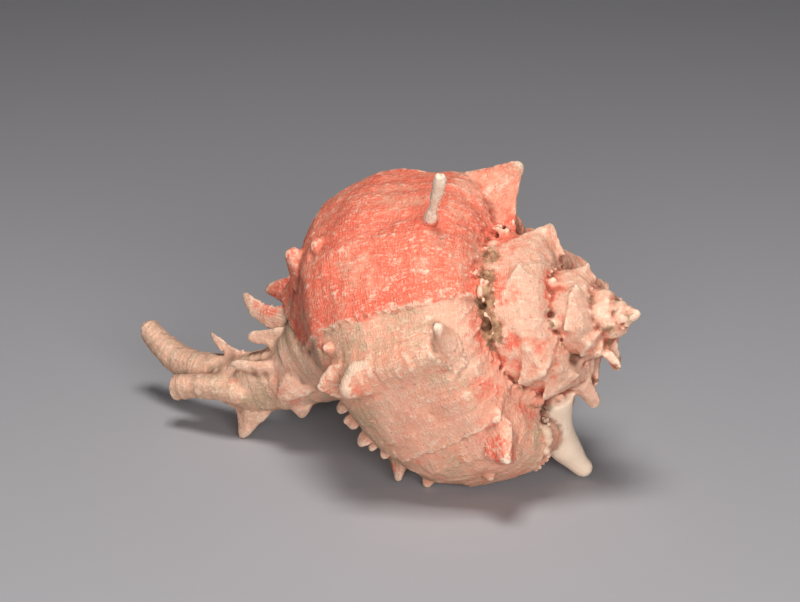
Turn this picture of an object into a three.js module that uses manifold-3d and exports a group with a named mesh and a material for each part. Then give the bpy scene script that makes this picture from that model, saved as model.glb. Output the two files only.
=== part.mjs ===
// A murex shell lying on its side. It grew as one piece, so it is one solid with an open mouth.
// The shell is described about its coiling axis: a turn angle, a radius from the axis and a depth
// below the apex. A pose then lays it on the ground. Lengths are millimetres and angles degrees.

import * as THREE from 'three';
import { ConvexGeometry } from 'three/addons/geometries/ConvexGeometry.js';
import { mergeVertices } from 'three/addons/utils/BufferGeometryUtils.js';
import Module from 'manifold-3d';

const wasm = await Module();
wasm.setup();

// Growth. The profile below is the section of the last whorl where its turn angle is 90 degrees.
// One turn earlier the same section is smaller by these ratios.
const DEPTH_PER_TURN = 1.74;
const RADIUS_PER_TURN = 1.79;
const PROFILE_ANGLE = 90;
const LIP_ANGLE = 152;
const TURNS = 4.5;

// The outer line of that section, as [depth below the apex, radius], from inside the suture,
// over the shoulder and the widest part, down to the neck above the canal.
const PROFILE = [
  [38.5, 20.5], [44.5, 28.5], [45, 33], [47.5, 39], [54.5, 45], [66.5, 47.3], [78, 49],
  [88.5, 48], [97.5, 44.5], [109, 35], [116, 27], [121, 18],
];
const AXIS_CLEARANCE = 2;

// Growth lines lean: below the shoulder they fall back by this angle over the whole profile.
const LINE_LEAN = 24;
const SHOULDER_SHARE = 0.34;

// The last whorl is fuller on its early side than the steady growth gives.
const FULLNESS = 0.23;
const FULLNESS_ANGLE = -90;
const FULLNESS_WIDTH = 70;

// Varices, the ribs that mark each pause in growth. Each rises slowly and falls quickly, and the
// spire's stand out more for their size.
const VARICES_PER_TURN = 7;
const FIRST_VARIX = 148;
const VARIX_STEP = 360 / VARICES_PER_TURN;
const VARIX_HEIGHT = 1.6;
const VARIX_RISE = 28;
const STEPS_PER_VARIX = 6;

// The rows of the surface down the profile, as knots of the profile: fine on the last whorl.
const LAST_ROWS = [0, 1, 2, 3, 3.5, 4, 4.5, 5, 6, 6.5, 7, 7.5, 8, 8.5, 9, 10, 11];
const SPIRE_ROWS = [0, 1, 2, 3, 4, 5, 6, 7, 9, 11];

// From this half turn on, counted from the lip, every second step round is enough.
const COARSE_HALF_TURN = 5;

// The pose on the ground: the axis turns towards the front and rises towards the apex, and the
// shell is rolled about it. The axis point at this depth stands at this place.
const AXIS_HEADING = 26.9;
const AXIS_RISE = 15.25;
const AXIS_ROLL = 14.6;
const POSED_DEPTH = 70.9;
const POSED_AT = new THREE.Vector3(15.5, -4.47, 42.1);

// Shoulder spines of the last whorl, from the lip backwards: the turn angle of the foot, the place
// of the tip, the half widths of the foot down the profile and around the axis, the tip's radius,
// the foot's share of the profile and how hollow the flare is.
const SHOULDER_SPINES = [
  { foot: 148, angle: 150, radius: 57, depth: 58, wide: 6, thick: 4, tip: 1.2, share: 0.34, hollow: 1.5 },
  { foot: 96, angle: 97, radius: 48.5, depth: 37, wide: 9.5, thick: 3.8, tip: 1.7, share: 0.28, hollow: 0.95 },
  { foot: 50, angle: 47, radius: 62.5, depth: 37, wide: 3.2, thick: 3.2, tip: 2.1, share: 0.33, hollow: 1 },
  { foot: -6, angle: 4.5, radius: 44.8, depth: 42.8, wide: 6, thick: 5.2, tip: 1.8, share: 0.32, hollow: 1.3 },
  { foot: -48, angle: -55, radius: 45.5, depth: 36, wide: 7.5, thick: 5.5, tip: 1, share: 0.3, hollow: 1 },
];

const turnsFrom = (angle) => (angle - PROFILE_ANGLE) / 360;
const radialSize = (angle) => RADIUS_PER_TURN ** turnsFrom(angle);
const axialSize = (angle) => DEPTH_PER_TURN ** turnsFrom(angle);

// A point of the shell's own frame: +Z runs to the apex, and the turn is right-handed.
function shellPoint(angle, radius, depth) {
  const turn = THREE.MathUtils.degToRad(angle);
  return new THREE.Vector3(radius * Math.cos(turn), -radius * Math.sin(turn), -depth);
}

// The same frame by straight distances: below the apex, towards the front, towards the top.
const canalPoint = ([depth, front, top]) => new THREE.Vector3(front, -top, -depth);

// How far a varix lifts the surface at this angle: a long rise, a crest and a short fall.
function varixLift(angle) {
  const past = THREE.MathUtils.euclideanModulo(angle - FIRST_VARIX, VARIX_STEP);
  const before = VARIX_STEP - past;
  const fall = Math.max(0, 1 - past / (VARIX_STEP / STEPS_PER_VARIX));
  const rise = Math.max(0, 1 - before / VARIX_RISE) ** 2;
  return Math.max(fall, rise);
}

function fullness(angle) {
  const off = (angle - FULLNESS_ANGLE) / FULLNESS_WIDTH;
  return 1 + FULLNESS * Math.exp(-4 * off * off);
}

const profileCurve = new THREE.SplineCurve(PROFILE.map(([d, r]) => new THREE.Vector2(d, r)));

// A point on the outside, by the growth line's angle and the share of the way down the profile.
function whorlPoint(line, share) {
  const at = profileCurve.getPoint(share);
  const angle = line - LINE_LEAN * (share - SHOULDER_SHARE);
  const size = radialSize(angle);
  const height = VARIX_HEIGHT * size ** 0.4 * Math.sin(Math.PI * Math.min(1, share * 1.2));
  const radius = at.y * fullness(angle) * size + height * varixLift(line);
  return { angle, radius, depth: at.x * axialSize(angle) };
}

// The growth line that passes a turn angle at this share of the profile.
const lineThrough = (angle, share) => angle + LINE_LEAN * (share - SHOULDER_SHARE);

function onWhorl(line, share) {
  const { angle, radius, depth } = whorlPoint(line, share);
  return shellPoint(angle, radius, depth);
}

function makeManifold(vertProperties, triVerts) {
  return new wasm.Manifold(new wasm.Mesh({ numProp: 3, vertProperties, triVerts }));
}

// A ring's points laid flat in its own middle plane.
function flatten(ring) {
  const centre = ring.reduce((sum, p) => sum.add(p), new THREE.Vector3()).divideScalar(ring.length);
  const normal = new THREE.Vector3();
  ring.forEach((p, i) => {
    const next = ring[(i + 1) % ring.length];
    normal.add(p.clone().sub(centre).cross(next.clone().sub(centre)));
  });
  normal.normalize();
  const across = ring[0].clone().sub(centre).normalize();
  const up = normal.clone().cross(across);
  return ring.map((p) => {
    const from = p.clone().sub(centre);
    return new THREE.Vector2(from.dot(across), from.dot(up));
  });
}

// A closed solid from rings of equal count, capped at both ends.
function solidFromRings(rings) {
  const count = rings[0].length;
  const positions = new Float32Array(rings.flat().flatMap((p) => [p.x, p.y, p.z]));
  const triangles = [];
  for (let j = 0; j + 1 < rings.length; j++) {
    for (let i = 0; i < count; i++) {
      const a = j * count + i;
      const b = j * count + ((i + 1) % count);
      triangles.push([a, b, a + count], [b, b + count, a + count]);
    }
  }
  const last = (rings.length - 1) * count;
  for (const [a, b, c] of THREE.ShapeUtils.triangulateShape(flatten(rings[0]), [])) {
    triangles.push([c, b, a]);
  }
  for (const [a, b, c] of THREE.ShapeUtils.triangulateShape(flatten(rings.at(-1)), [])) {
    triangles.push([last + a, last + b, last + c]);
  }
  const solid = makeManifold(positions, new Uint32Array(triangles.flat()));
  if (solid.volume() > 0) return solid;
  return makeManifold(positions, new Uint32Array(triangles.map(([a, b, c]) => [a, c, b]).flat()));
}

// One ring of the whorl: its outer line and two points beside the axis.
function whorlRing(line, rows) {
  const ring = rows.map((knot) => onWhorl(line, knot / (PROFILE.length - 1)));
  for (const [share, point] of [[1, PROFILE.at(-1)], [0, PROFILE[0]]]) {
    const { angle } = whorlPoint(line, share);
    ring.push(shellPoint(angle, AXIS_CLEARANCE * radialSize(angle), point[0] * axialSize(angle)));
  }
  return ring;
}

// The whorls, as half-turn wedges. Each starts one step inside the newer one.
function whorls() {
  const step = VARIX_STEP / STEPS_PER_VARIX;
  const steps = Math.round((TURNS * 360) / step);
  const lines = [LIP_ANGLE];
  for (let k = 0; k <= steps; k++) lines.push(FIRST_VARIX - k * step);
  const stepsPerWedge = (VARICES_PER_TURN * STEPS_PER_VARIX) / 2;
  const wedges = [];
  for (let first = 0; first + 1 < lines.length; first += stepsPerWedge) {
    const rows = first < 2 * stepsPerWedge ? LAST_ROWS : SPIRE_ROWS;
    const stride = first < COARSE_HALF_TURN * stepsPerWedge ? 1 : 2;
    const all = lines.slice(Math.max(0, first - 1), first + stepsPerWedge + 1);
    const span = all.filter((line, i) => i % stride === 0 || i === all.length - 1);
    wedges.push(solidFromRings(span.map((line) => whorlRing(line, rows))));
  }
  return wedges;
}

// The solid core on the axis, from the apex down inside the last whorl, as [depth, radius].
const CORE = [[0.6, 0], [1.2, 1.1], [3, 2.2], [7, 3.6], [14, 6], [30, 10], [60, 13], [92, 13], [96, 0]];
const CORE_SIDES = 12;

// A closed solid from a geometry whose triangles close but don't share their corners.
function solidFromGeometry(geometry) {
  geometry.deleteAttribute('normal');
  geometry.deleteAttribute('uv');
  const merged = mergeVertices(geometry, 1e-4);
  return makeManifold(merged.attributes.position.array, new Uint32Array(merged.index.array));
}

function coreSolid() {
  const outline = CORE.map(([depth, radius]) => new THREE.Vector2(radius, -depth)).reverse();
  return solidFromGeometry(new THREE.LatheGeometry(outline, CORE_SIDES).rotateX(Math.PI / 2));
}

// A rod through these points. Each point has two half widths, along `across` and square to it.
function rod(points, across, sides) {
  const rings = points.map(({ at, wide, thick }, k) => {
    const before = points[Math.max(0, k - 1)].at;
    const after = points[Math.min(points.length - 1, k + 1)].at;
    const along = after.clone().sub(before).normalize();
    const side = across.clone().addScaledVector(along, -across.dot(along)).normalize();
    const other = along.clone().cross(side);
    const ring = [];
    for (let i = 0; i < sides; i++) {
      const turn = (2 * Math.PI * i) / sides;
      ring.push(at.clone().addScaledVector(side, wide * Math.cos(turn))
        .addScaledVector(other, thick * Math.sin(turn)));
    }
    return ring;
  });
  return solidFromRings(rings);
}

// A spine narrows from its foot to its tip; the more hollow, the sooner.
const SPINE_SHARES = [0, 0.25, 0.5, 0.8, 1];
const BLUNT_END = 0.45;

function spine(foot, tip, { wide, thick, tip: least, across, hollow = 1.5, bend, sides = 8 }) {
  const points = SPINE_SHARES.map((share) => {
    const at = foot.clone().lerp(tip, share);
    if (bend) at.addScaledVector(bend, 4 * share * (1 - share));
    const width = (1 - share) ** hollow;
    const end = share < 1 ? least : least * BLUNT_END;
    return { at, wide: end + (wide - least) * width, thick: end + (thick - least) * width };
  });
  return rod(points, across, sides);
}

// The direction down the profile at this place, along which a spine's foot is wide.
function downProfile(line, share) {
  return onWhorl(line, share + 0.04).sub(onWhorl(line, share - 0.04)).normalize();
}

// The foot of a spine, sunk by this share of the radius.
function footPoint(line, share, sunk) {
  const { angle, radius, depth } = whorlPoint(line, share);
  return shellPoint(angle, radius * (1 - sunk), depth);
}

function shoulderSpines() {
  return SHOULDER_SPINES.map((size) => {
    const line = lineThrough(size.foot, size.share);
    const tip = shellPoint(size.angle, size.radius, size.depth);
    return spine(footPoint(line, size.share, 0.1), tip, { ...size, across: downProfile(line, size.share) });
  });
}

const AXIS_DOWN = new THREE.Vector3(0, 0, -1);

// The oldest shoulder spine still standing: a horn bent like a boot. Each station is a turn angle,
// a radius and a depth, with the half width there.
const HORN = [
  [[-84, 18, 29], 6], [[-95.7, 22.9, 31], 5.2], [[-103.5, 28.5, 33.8], 4.6], [[-108.8, 34.2, 36], 4.5],
  [[-112.2, 39.2, 37.4], 4.7], [[-115.1, 44.1, 37.8], 4.1], [[-117.3, 48.5, 37.5], 3.3],
  [[-118.9, 51.6, 36.7], 2.7], [[-119.6, 53.2, 36.2], 1.4],
];
const HORN_SIDES = 10;

function horn() {
  const points = HORN.map(([place, width]) => ({ at: shellPoint(...place), wide: width, thick: width }));
  return rod(points, AXIS_DOWN, HORN_SIDES);
}

// Spines of the spire, by their number from the lip: the tip's place in the scaled section and the
// half widths, where they aren't the usual ones.
const SPIRE_TIP = { radius: 53, depth: 48, wide: 9, thick: 7, tip: 1.5 };
const SPIRE_FOOT_SHARE = 0.32;
const SPIRE_TIPS = {
  8: { radius: 52, depth: 48 },
  9: { radius: 51, depth: 52.5 },
  12: { radius: 68, depth: 52.5, wide: 13, thick: 12, tip: 4 },
  15: { radius: 54, depth: 51.5 },
  19: { radius: 66, depth: 45 },
  20: {},
  21: {},
};

function spireSpines() {
  return Object.entries(SPIRE_TIPS).map(([number, own]) => {
    const line = FIRST_VARIX - number * VARIX_STEP;
    const size = radialSize(line);
    const place = { ...SPIRE_TIP, ...own };
    const tip = shellPoint(line, place.radius * size, place.depth * axialSize(line));
    return spine(footPoint(line, SPIRE_FOOT_SHARE, 0.15), tip, {
      wide: place.wide * size, thick: place.thick * size, tip: place.tip * size,
      across: downProfile(line, SPIRE_FOOT_SHARE), hollow: 1.2, sides: 6,
    });
  });
}

// The spire's crags, the flat-sided peaks of its varices. The corners of each are turn angles,
// radii and depths. The first form is the usual one, scaled, its angles counted from its varix.
const CRAG = [[0, 53, 48], [-32, 50, 69.5], [-53, 47, 55.5], [-10, 34.5, 45], [-7, 40, 67], [-35, 38, 74], [-25, 22, 55]];
const CRAG_VARICES = [6, 7, 8, 12, 13, 14, 15, 16, 17, 18, 19];
const PLACED_CRAGS = [
  [[45, 26.8, 28.2], [12.5, 25.2, 35.5], [-8, 22.9, 27.6], [35, 17.8, 23.7], [38, 21, 36], [10, 19, 38], [20, 12, 30]],
  [[-38, 23.4, 24], [-11, 23, 27.3], [-12, 14.2, 19.8], [-41, 25.6, 33.5], [-62, 20, 30], [-35, 12, 28]],
  [[-60, 25.6, 29.8], [-44, 19.5, 25], [-68, 17, 19], [-80, 19.5, 24], [-84, 21, 31], [-60, 12, 26]],
  [[34, 15.2, 16], [-11, 15.8, 18.6], [-20, 12, 16.5], [2, 11.5, 13.5], [24, 11, 14.5], [40, 12, 19], [10, 8, 17]],
  [[-34, 13.4, 12.6], [-20, 12, 15.5], [-52, 13.6, 17.5], [-60, 10, 13], [-30, 8, 10.5], [-45, 6, 15]],
];

function scaledCrag(number) {
  const peak = FIRST_VARIX - number * VARIX_STEP;
  return CRAG.map(([turn, radius, depth]) => {
    const angle = peak + turn;
    return [angle, radius * radialSize(angle), depth * axialSize(angle)];
  });
}

function crags() {
  return [...PLACED_CRAGS, ...CRAG_VARICES.map(scaledCrag)].map((corners) => {
    return solidFromGeometry(new ConvexGeometry(corners.map((corner) => shellPoint(...corner))));
  });
}

// Knobs below the shoulder and along the sutures: the turn angle of the tip, and of the foot where
// it differs, the foot's share, the rest of the tip's place, and the half widths down the shell and
// around it.
const KNOBS = [
  { angle: 45, share: 0.69, radius: 47.5, depth: 89, wide: 8, thick: 2.6 },
  { angle: 49, share: 0.8, radius: 40.5, depth: 101, wide: 6.5, thick: 5.5 },
  { angle: 2, share: 0.7, radius: 43.5, depth: 87.5, wide: 6, thick: 5 },
  { foot: -10, angle: -15.3, share: 0.57, radius: 46, depth: 75.5, wide: 12, thick: 7 },
  { foot: -11, angle: -14.5, share: 0.67, radius: 42.5, depth: 86.7, wide: 12, thick: 7 },
  { angle: -84, share: 0.7, radius: 45.1, depth: 75.5, wide: 4.4, thick: 3.8 },
  { angle: -78, share: 0.78, radius: 43, depth: 82.6, wide: 5, thick: 4.4 },
  { angle: -76, share: 0.46, radius: 45.5, depth: 49.5, wide: 3.6, thick: 3.6 },
  { angle: -670, share: 0.55, radius: 17, depth: 22, wide: 3, thick: 3 },
  { angle: -720, share: 0.55, radius: 16.5, depth: 21.5, wide: 3, thick: 3.4 },
];

function knobs() {
  return KNOBS.map((knob) => {
    const line = lineThrough(knob.foot ?? knob.angle, knob.share);
    const tip = shellPoint(knob.angle, knob.radius, knob.depth);
    const foot = footPoint(line, knob.share, 0.12);
    return spine(foot, tip, { ...knob, tip: 1, across: AXIS_DOWN, hollow: 1.1, sides: 7 });
  });
}

// The canal: a thick neck, its open tube and the stub of an older one, as centre and half width.
const NECK = [
  [[88, 0, 2], 19], [[104, 0, 0], 18], [[112, 0, -2.5], 15.5], [[119, 0.3, -5.5], 12.5],
  [[127, 0.6, -7.5], 10.6], [[135, 0.8, -8.6], 9], [[142, 0.5, -8], 7.4], [[149, -1, -6], 5],
];
const NEW_TUBE = [
  [[128, 0, -5], 6.4], [[138.4, -0.6, -5.1], 6], [[150.7, -2.3, -3.8], 5.2], [[161.1, -4.1, -1.2], 4.6],
  [[168, -5.9, 2.5], 3.8], [[173.5, -7, 7.1], 3.4], [[177.2, -7.3, 11.6], 3.1], [[178, -7.4, 12.6], 2],
];
const OLD_TUBE = [
  [[128, 2, -9], 5], [[135.2, 5.6, -10.3], 4.8], [[143.2, 7.2, -9], 4.2], [[152.5, 7.1, -7.6], 4],
  [[160.2, 7, -7.3], 3.8],
];

function tube(stations, sides) {
  const points = stations.map(([at, radius]) => ({ at: canalPoint(at), wide: radius, thick: radius }));
  return rod(points, new THREE.Vector3(1, 0, 0), sides);
}

// Blades and fangs on the canal: foot, tip, half widths, how hollow, and how far the middle bows.
const BLADES = [
  { foot: [112, -1, 17], tip: [130.2, -4.5, 19.9], wide: 6, thick: 2.6, hollow: 0.9, bow: [0, 0, 1.5] },
  { foot: [112, 2, 8], tip: [135.1, 0.6, 19.7], wide: 6, thick: 2.8, hollow: 0.9, bow: [2, 0, -1] },
  { foot: [111, 4, 4], tip: [131.2, 6.4, 5.5], wide: 5.6, thick: 3, hollow: 0.8, bow: [0, 1, 1.5] },
  { foot: [118, 4, -4], tip: [148.9, 1.2, 8.9], wide: 5.6, thick: 2.8, hollow: 1, bow: [1, 0, -2.6] },
  { foot: [114, 8, -5], tip: [135.2, 10.2, -2], wide: 3, thick: 2.2, hollow: 1, bow: [0, 0.5, -0.4] },
  { foot: [136, 1, -8], tip: [142, 0.4, -25.1], wide: 10.5, thick: 5.5, hollow: 0.95, bow: [-1, 0.6, 0] },
  { foot: [117, 2, -9], tip: [118.4, 1.2, -21.4], wide: 9, thick: 6, hollow: 0.9, bow: [0, 0.6, 0] },
  { foot: [114, 6, -9], tip: [120.4, 9.6, -14.8], wide: 5.5, thick: 3.6, hollow: 0.9, bow: [0, 0.6, 0] },
];

function blades() {
  return BLADES.map(({ foot, tip, wide, thick, hollow, bow }) => {
    const from = canalPoint(foot);
    const to = canalPoint(tip);
    const bend = new THREE.Vector3(bow[1], -bow[2], -bow[0]);
    const sideways = to.clone().sub(from).cross(new THREE.Vector3(1, 0, 0)).normalize();
    return spine(from, to, { wide, thick, tip: 0.8, hollow, across: sideways, bend });
  });
}

// The edge of the fifth varix: a scalloped rim that stands over the newer shell, from the suture
// round the shoulder, and its loose frills further down.
const RIM = [[-70, 22, 31.5], [-77, 25.5, 32.3], [-84, 30, 33.4], [-89, 34.5, 35.2], [-91, 38.5, 38], [-95, 41.6, 43.5]];
const RIM_WIDE = 2.6;
const RIM_THICK = 1.3;
const FRILLS = [[-46, 27.5, 94.5], [-51, 30.5, 91.5], [-56, 35.3, 88.6], [-61, 36.8, 85]];
const FRILL = { wide: 3.4, thick: 1.8, tip: 0.7, hollow: 0.8, sides: 6 };
const FRILL_LENGTH = 8;

function rim() {
  const points = RIM.map(([angle, radius, depth], k) => {
    const scallop = k % 2 === 0 ? 1 : 0.7;
    return { at: shellPoint(angle, radius, depth), wide: RIM_WIDE * scallop, thick: RIM_THICK };
  });
  return rod(points, new THREE.Vector3(0, 1, 0), 6);
}

function frills() {
  return FRILLS.map(([angle, radius, depth]) => {
    const tip = shellPoint(angle, radius, depth);
    const foot = shellPoint(angle, radius - FRILL_LENGTH, depth - FRILL_LENGTH);
    return spine(foot, tip, { ...FRILL, across: AXIS_DOWN });
  });
}

// The mouth: a hollow that runs back inside the last whorl and closes. Each station has a growth
// line, the middle's radius and depth, and half widths across and along the axis, before scaling.
const MOUTH = [
  { line: 164, radius: 33, depth: 84, across: 15.5, along: 27 },
  { line: 148, radius: 32, depth: 82, across: 14.5, along: 26 },
  { line: 120, radius: 31.5, depth: 80, across: 14, along: 24 },
  { line: 85, radius: 31.5, depth: 79, across: 13, along: 22 },
  { line: 50, radius: 31.5, depth: 78, across: 12, along: 20 },
  { line: 15, radius: 31.5, depth: 77, across: 10, along: 17 },
  { line: -20, radius: 31.5, depth: 76, across: 7.5, along: 13 },
  { line: -45, radius: 31.5, depth: 75, across: 3, along: 5 },
];
const MOUTH_SIDES = 12;
const MOUTH_LEAN = 0.29;
const SHOULDER_DEPTH = 54;

function mouthSolid() {
  const rings = MOUTH.map(({ line, radius, depth, across, along }) => {
    const ring = [];
    for (let i = 0; i < MOUTH_SIDES; i++) {
      const turn = (2 * Math.PI * i) / MOUTH_SIDES;
      const deep = depth + along * Math.sin(turn);
      const angle = line - MOUTH_LEAN * (deep - SHOULDER_DEPTH);
      ring.push(shellPoint(angle, (radius + across * Math.cos(turn)) * radialSize(line), deep * axialSize(line)));
    }
    return ring;
  });
  return solidFromRings(rings);
}

// The slit that runs from the mouth down the open tube, and the hollow end of the old one.
const SLIT = [
  [[104, -14, 16], 2.4], [[114, -8, 10], 2.2], [[128, -2, -2], 2], [[138.4, -0.6, -5.1], 1.9],
  [[150.7, -2.3, -3.8], 1.8], [[161.1, -4.1, -1.2], 1.7], [[168, -5.9, 2.5], 1.6], [[173.5, -7, 7.1], 1.6],
  [[180, -7.8, 15], 1.6],
];
const OLD_BORE = [[[154, 7, -7.5], 1.2], [[164, 7, -7.2], 2]];

function shellSolid() {
  const parts = [
    ...whorls(), coreSolid(), tube(NECK, 14), tube(NEW_TUBE, 9), tube(OLD_TUBE, 9), rim(),
    ...shoulderSpines(), horn(), ...spireSpines(), ...crags(), ...knobs(), ...blades(), ...frills(),
  ];
  const hollows = [mouthSolid(), tube(SLIT, 6), tube(OLD_BORE, 6)];
  const whole = parts.reduce((all, part) => all.add(part));
  return hollows.reduce((left, hollow) => left.subtract(hollow), whole);
}

function geometryOf(solid) {
  const mesh = solid.getMesh();
  const geometry = new THREE.BufferGeometry();
  geometry.setAttribute('position', new THREE.BufferAttribute(mesh.vertProperties, 3));
  geometry.setIndex(new THREE.BufferAttribute(mesh.triVerts, 1));
  return geometry;
}

function pose() {
  const heading = THREE.MathUtils.degToRad(AXIS_HEADING);
  const rise = THREE.MathUtils.degToRad(AXIS_RISE);
  const roll = THREE.MathUtils.degToRad(AXIS_ROLL);
  const axis = new THREE.Vector3(
    Math.cos(rise) * Math.cos(heading), -Math.cos(rise) * Math.sin(heading), Math.sin(rise));
  const side = new THREE.Vector3(-Math.sin(heading), -Math.cos(heading), 0);
  const up = side.clone().cross(axis);
  const front = side.clone().multiplyScalar(Math.cos(roll)).addScaledVector(up, Math.sin(roll));
  const back = axis.clone().cross(front);
  return new THREE.Matrix4().makeBasis(front, back, axis);
}

const surface = new THREE.MeshStandardMaterial({ color: 0xd98f78, roughness: 0.8, metalness: 0, flatShading: true });
const shell = new THREE.Mesh(geometryOf(shellSolid()), surface);
shell.name = 'shell';

const laid = new THREE.Group();
const turned = pose();
const apexOffset = new THREE.Vector3(0, 0, POSED_DEPTH).applyMatrix4(turned);
laid.setRotationFromMatrix(turned);
laid.position.copy(POSED_AT).add(apexOffset);
laid.add(shell);

const murex = new THREE.Group();
murex.add(laid);

export default murex;
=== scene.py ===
import itertools
import math

import bmesh
import bpy
import numpy as np
from mathutils import Matrix, Vector
from mathutils.kdtree import KDTree


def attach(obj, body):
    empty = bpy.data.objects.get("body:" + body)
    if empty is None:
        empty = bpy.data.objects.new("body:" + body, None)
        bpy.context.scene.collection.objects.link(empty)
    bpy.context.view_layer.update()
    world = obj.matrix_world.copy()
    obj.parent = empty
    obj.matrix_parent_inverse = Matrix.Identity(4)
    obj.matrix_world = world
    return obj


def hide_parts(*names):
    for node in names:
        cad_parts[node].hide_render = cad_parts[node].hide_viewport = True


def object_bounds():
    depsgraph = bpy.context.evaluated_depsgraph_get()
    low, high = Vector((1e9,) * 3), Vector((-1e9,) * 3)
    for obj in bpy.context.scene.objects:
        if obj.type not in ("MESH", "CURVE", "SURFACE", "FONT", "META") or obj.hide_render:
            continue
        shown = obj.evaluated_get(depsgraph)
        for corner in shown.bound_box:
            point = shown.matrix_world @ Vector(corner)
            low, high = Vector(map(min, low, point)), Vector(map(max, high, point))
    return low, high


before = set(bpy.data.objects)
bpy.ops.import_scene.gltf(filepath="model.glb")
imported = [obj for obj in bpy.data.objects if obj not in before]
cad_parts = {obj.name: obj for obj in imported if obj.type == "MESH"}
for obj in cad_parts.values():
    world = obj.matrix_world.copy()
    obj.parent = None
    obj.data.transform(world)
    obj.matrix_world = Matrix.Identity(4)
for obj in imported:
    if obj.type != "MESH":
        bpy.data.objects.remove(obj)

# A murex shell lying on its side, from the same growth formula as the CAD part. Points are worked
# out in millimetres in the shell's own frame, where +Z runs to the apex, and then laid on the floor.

CAD_BOX = [list(corner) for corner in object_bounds()]
MM = 0.001

# Growth, as in the CAD part
DEPTH_PER_TURN = 1.74
RADIUS_PER_TURN = 1.79
PROFILE_ANGLE = 90
LIP_ANGLE = 152
TURNS = 4.5
PROFILE = np.array([
    (38.5, 20.5), (44.5, 28.5), (45, 33), (47.5, 39), (54.5, 45), (66.5, 47.3), (78, 49),
    (88.5, 48), (97.5, 44.5), (109, 35), (116, 27), (121, 18),
])
PROFILE_LENGTH = 118
AXIS_CLEARANCE = 2
LINE_LEAN = 24
SHOULDER_SHARE = 0.34
FULLNESS = 0.23
FULLNESS_ANGLE = -90
FULLNESS_WIDTH = 70
VARICES_PER_TURN = 7
FIRST_VARIX = 148
VARIX_STEP = 360 / VARICES_PER_TURN
VARIX_HEIGHT = 1.6
VARIX_FALL = VARIX_STEP / 6
VARIX_RISE = 28

# Pose, as in the CAD part
AXIS_HEADING = math.radians(26.9)
AXIS_RISE = math.radians(15.25)
AXIS_ROLL = math.radians(14.6)
POSED_DEPTH = 70.9
POSED_AT = np.array((15.5, -4.47, 42.1))

# Resolution of the source surfaces and of the skin, in millimetres or counts
WHORL_STEP = VARIX_STEP / 40
WHORL_ROWS = 96
VOXEL = 0.52
MAX_TRIANGLES = 194000


def smoothstep(low, high, value):
    t = np.clip((value - low) / (high - low), 0, 1)
    return t * t * (3 - 2 * t)


def unit(vectors):
    return vectors / np.maximum(np.linalg.norm(vectors, axis=-1, keepdims=True), 1e-9)


def radial_size(angle):
    return RADIUS_PER_TURN ** ((angle - PROFILE_ANGLE) / 360)


def axial_size(angle):
    return DEPTH_PER_TURN ** ((angle - PROFILE_ANGLE) / 360)


def catmull_rom(points, share):
    """Points of a smooth curve through these points, at shares from 0 to 1."""
    points = np.asarray(points, float)
    last = len(points) - 1
    place = np.clip(np.asarray(share, float), 0, 1) * last
    k = np.minimum(place.astype(int), last - 1)
    t = (place - k)[..., None]
    before, here = points[np.maximum(k - 1, 0)], points[k]
    there, beyond = points[k + 1], points[np.minimum(k + 2, last)]
    v0, v1 = (there - before) / 2, (beyond - here) / 2
    return ((2 * here - 2 * there + v0 + v1) * t ** 3
            + (3 * there - 3 * here - 2 * v0 - v1) * t ** 2 + v0 * t + here)


def shell_point(angle, radius, depth):
    turn = np.radians(angle)
    return np.stack(np.broadcast_arrays(radius * np.cos(turn), -radius * np.sin(turn), -depth), axis=-1)


def canal_point(place):
    """A place given as depth below the apex, towards the front, towards the top."""
    depth, front, top = place
    return np.array((front, -top, -depth), float)


# The crest of a spire varix over its whorl, by the share of the profile, for size 1, and the growth
# line where the spire's high varices take over from the last whorl's low ones
CREST_SHARES = (0, 0.12, 0.3, 0.42, 0.54, 0.66, 0.8, 1)
CREST_HEIGHTS = (0, 0.8, 2.0, 1.6, 2.0, 1, 0, 0)
SPIRE_STARTS = -112
SPIRE_BLEND = 40
SPIRE_RISE = 41
SPIRE_LEAN = 110

# The last whorl has a keel above the canal and a hollow beyond it. Both grow from the first of these
# growth lines to the second.
KEEL_GROWS = (-60, 0)
KEEL_SHARE = 0.745
KEEL_WIDTH = 0.028
KEEL_HEIGHT = 0.9
HOLLOW_SHARES = (0.76, 0.86, 0.93)
HOLLOW_DEPTH = 3.2


def varix_lift(line, reach, power):
    past = np.mod(line - FIRST_VARIX, VARIX_STEP)
    rise = np.maximum(0, 1 - (VARIX_STEP - past) / reach) ** power
    return np.maximum(np.maximum(0, 1 - past / VARIX_FALL), rise)


def varix_relief(line, share, size):
    """How far the varices lift the surface: the last whorl's are low, the spire's stand as facets."""
    low = varix_lift(line, VARIX_RISE, 2)
    high = varix_lift(line + SPIRE_LEAN * (share - SHOULDER_SHARE), SPIRE_RISE, 1.25)
    last = VARIX_HEIGHT * size ** 0.4 * np.sin(np.pi * np.minimum(1, share * 1.2)) * low
    spire = np.interp(share, CREST_SHARES, CREST_HEIGHTS) * size * high
    keeled = smoothstep(*KEEL_GROWS, line)
    opens, full, closes = HOLLOW_SHARES
    hollow = HOLLOW_DEPTH * smoothstep(opens, full, share) * (1 - smoothstep(closes, 1, share)) * keeled
    keel = KEEL_HEIGHT * np.exp(-((share - KEEL_SHARE) / KEEL_WIDTH) ** 2) * keeled
    on_spire = smoothstep(SPIRE_STARTS + SPIRE_BLEND, SPIRE_STARTS, line)
    return last - hollow + keel + (spire - last) * on_spire


def whorl_point(line, share):
    line, share = np.broadcast_arrays(np.asarray(line, float), np.asarray(share, float))
    at = catmull_rom(PROFILE, share)
    angle = line - LINE_LEAN * (share - SHOULDER_SHARE)
    size = radial_size(angle)
    off = (angle - FULLNESS_ANGLE) / FULLNESS_WIDTH
    radius = at[..., 1] * (1 + FULLNESS * np.exp(-4 * off * off)) * size
    return angle, radius, at[..., 0] * axial_size(angle), varix_relief(line, share, size)


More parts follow.
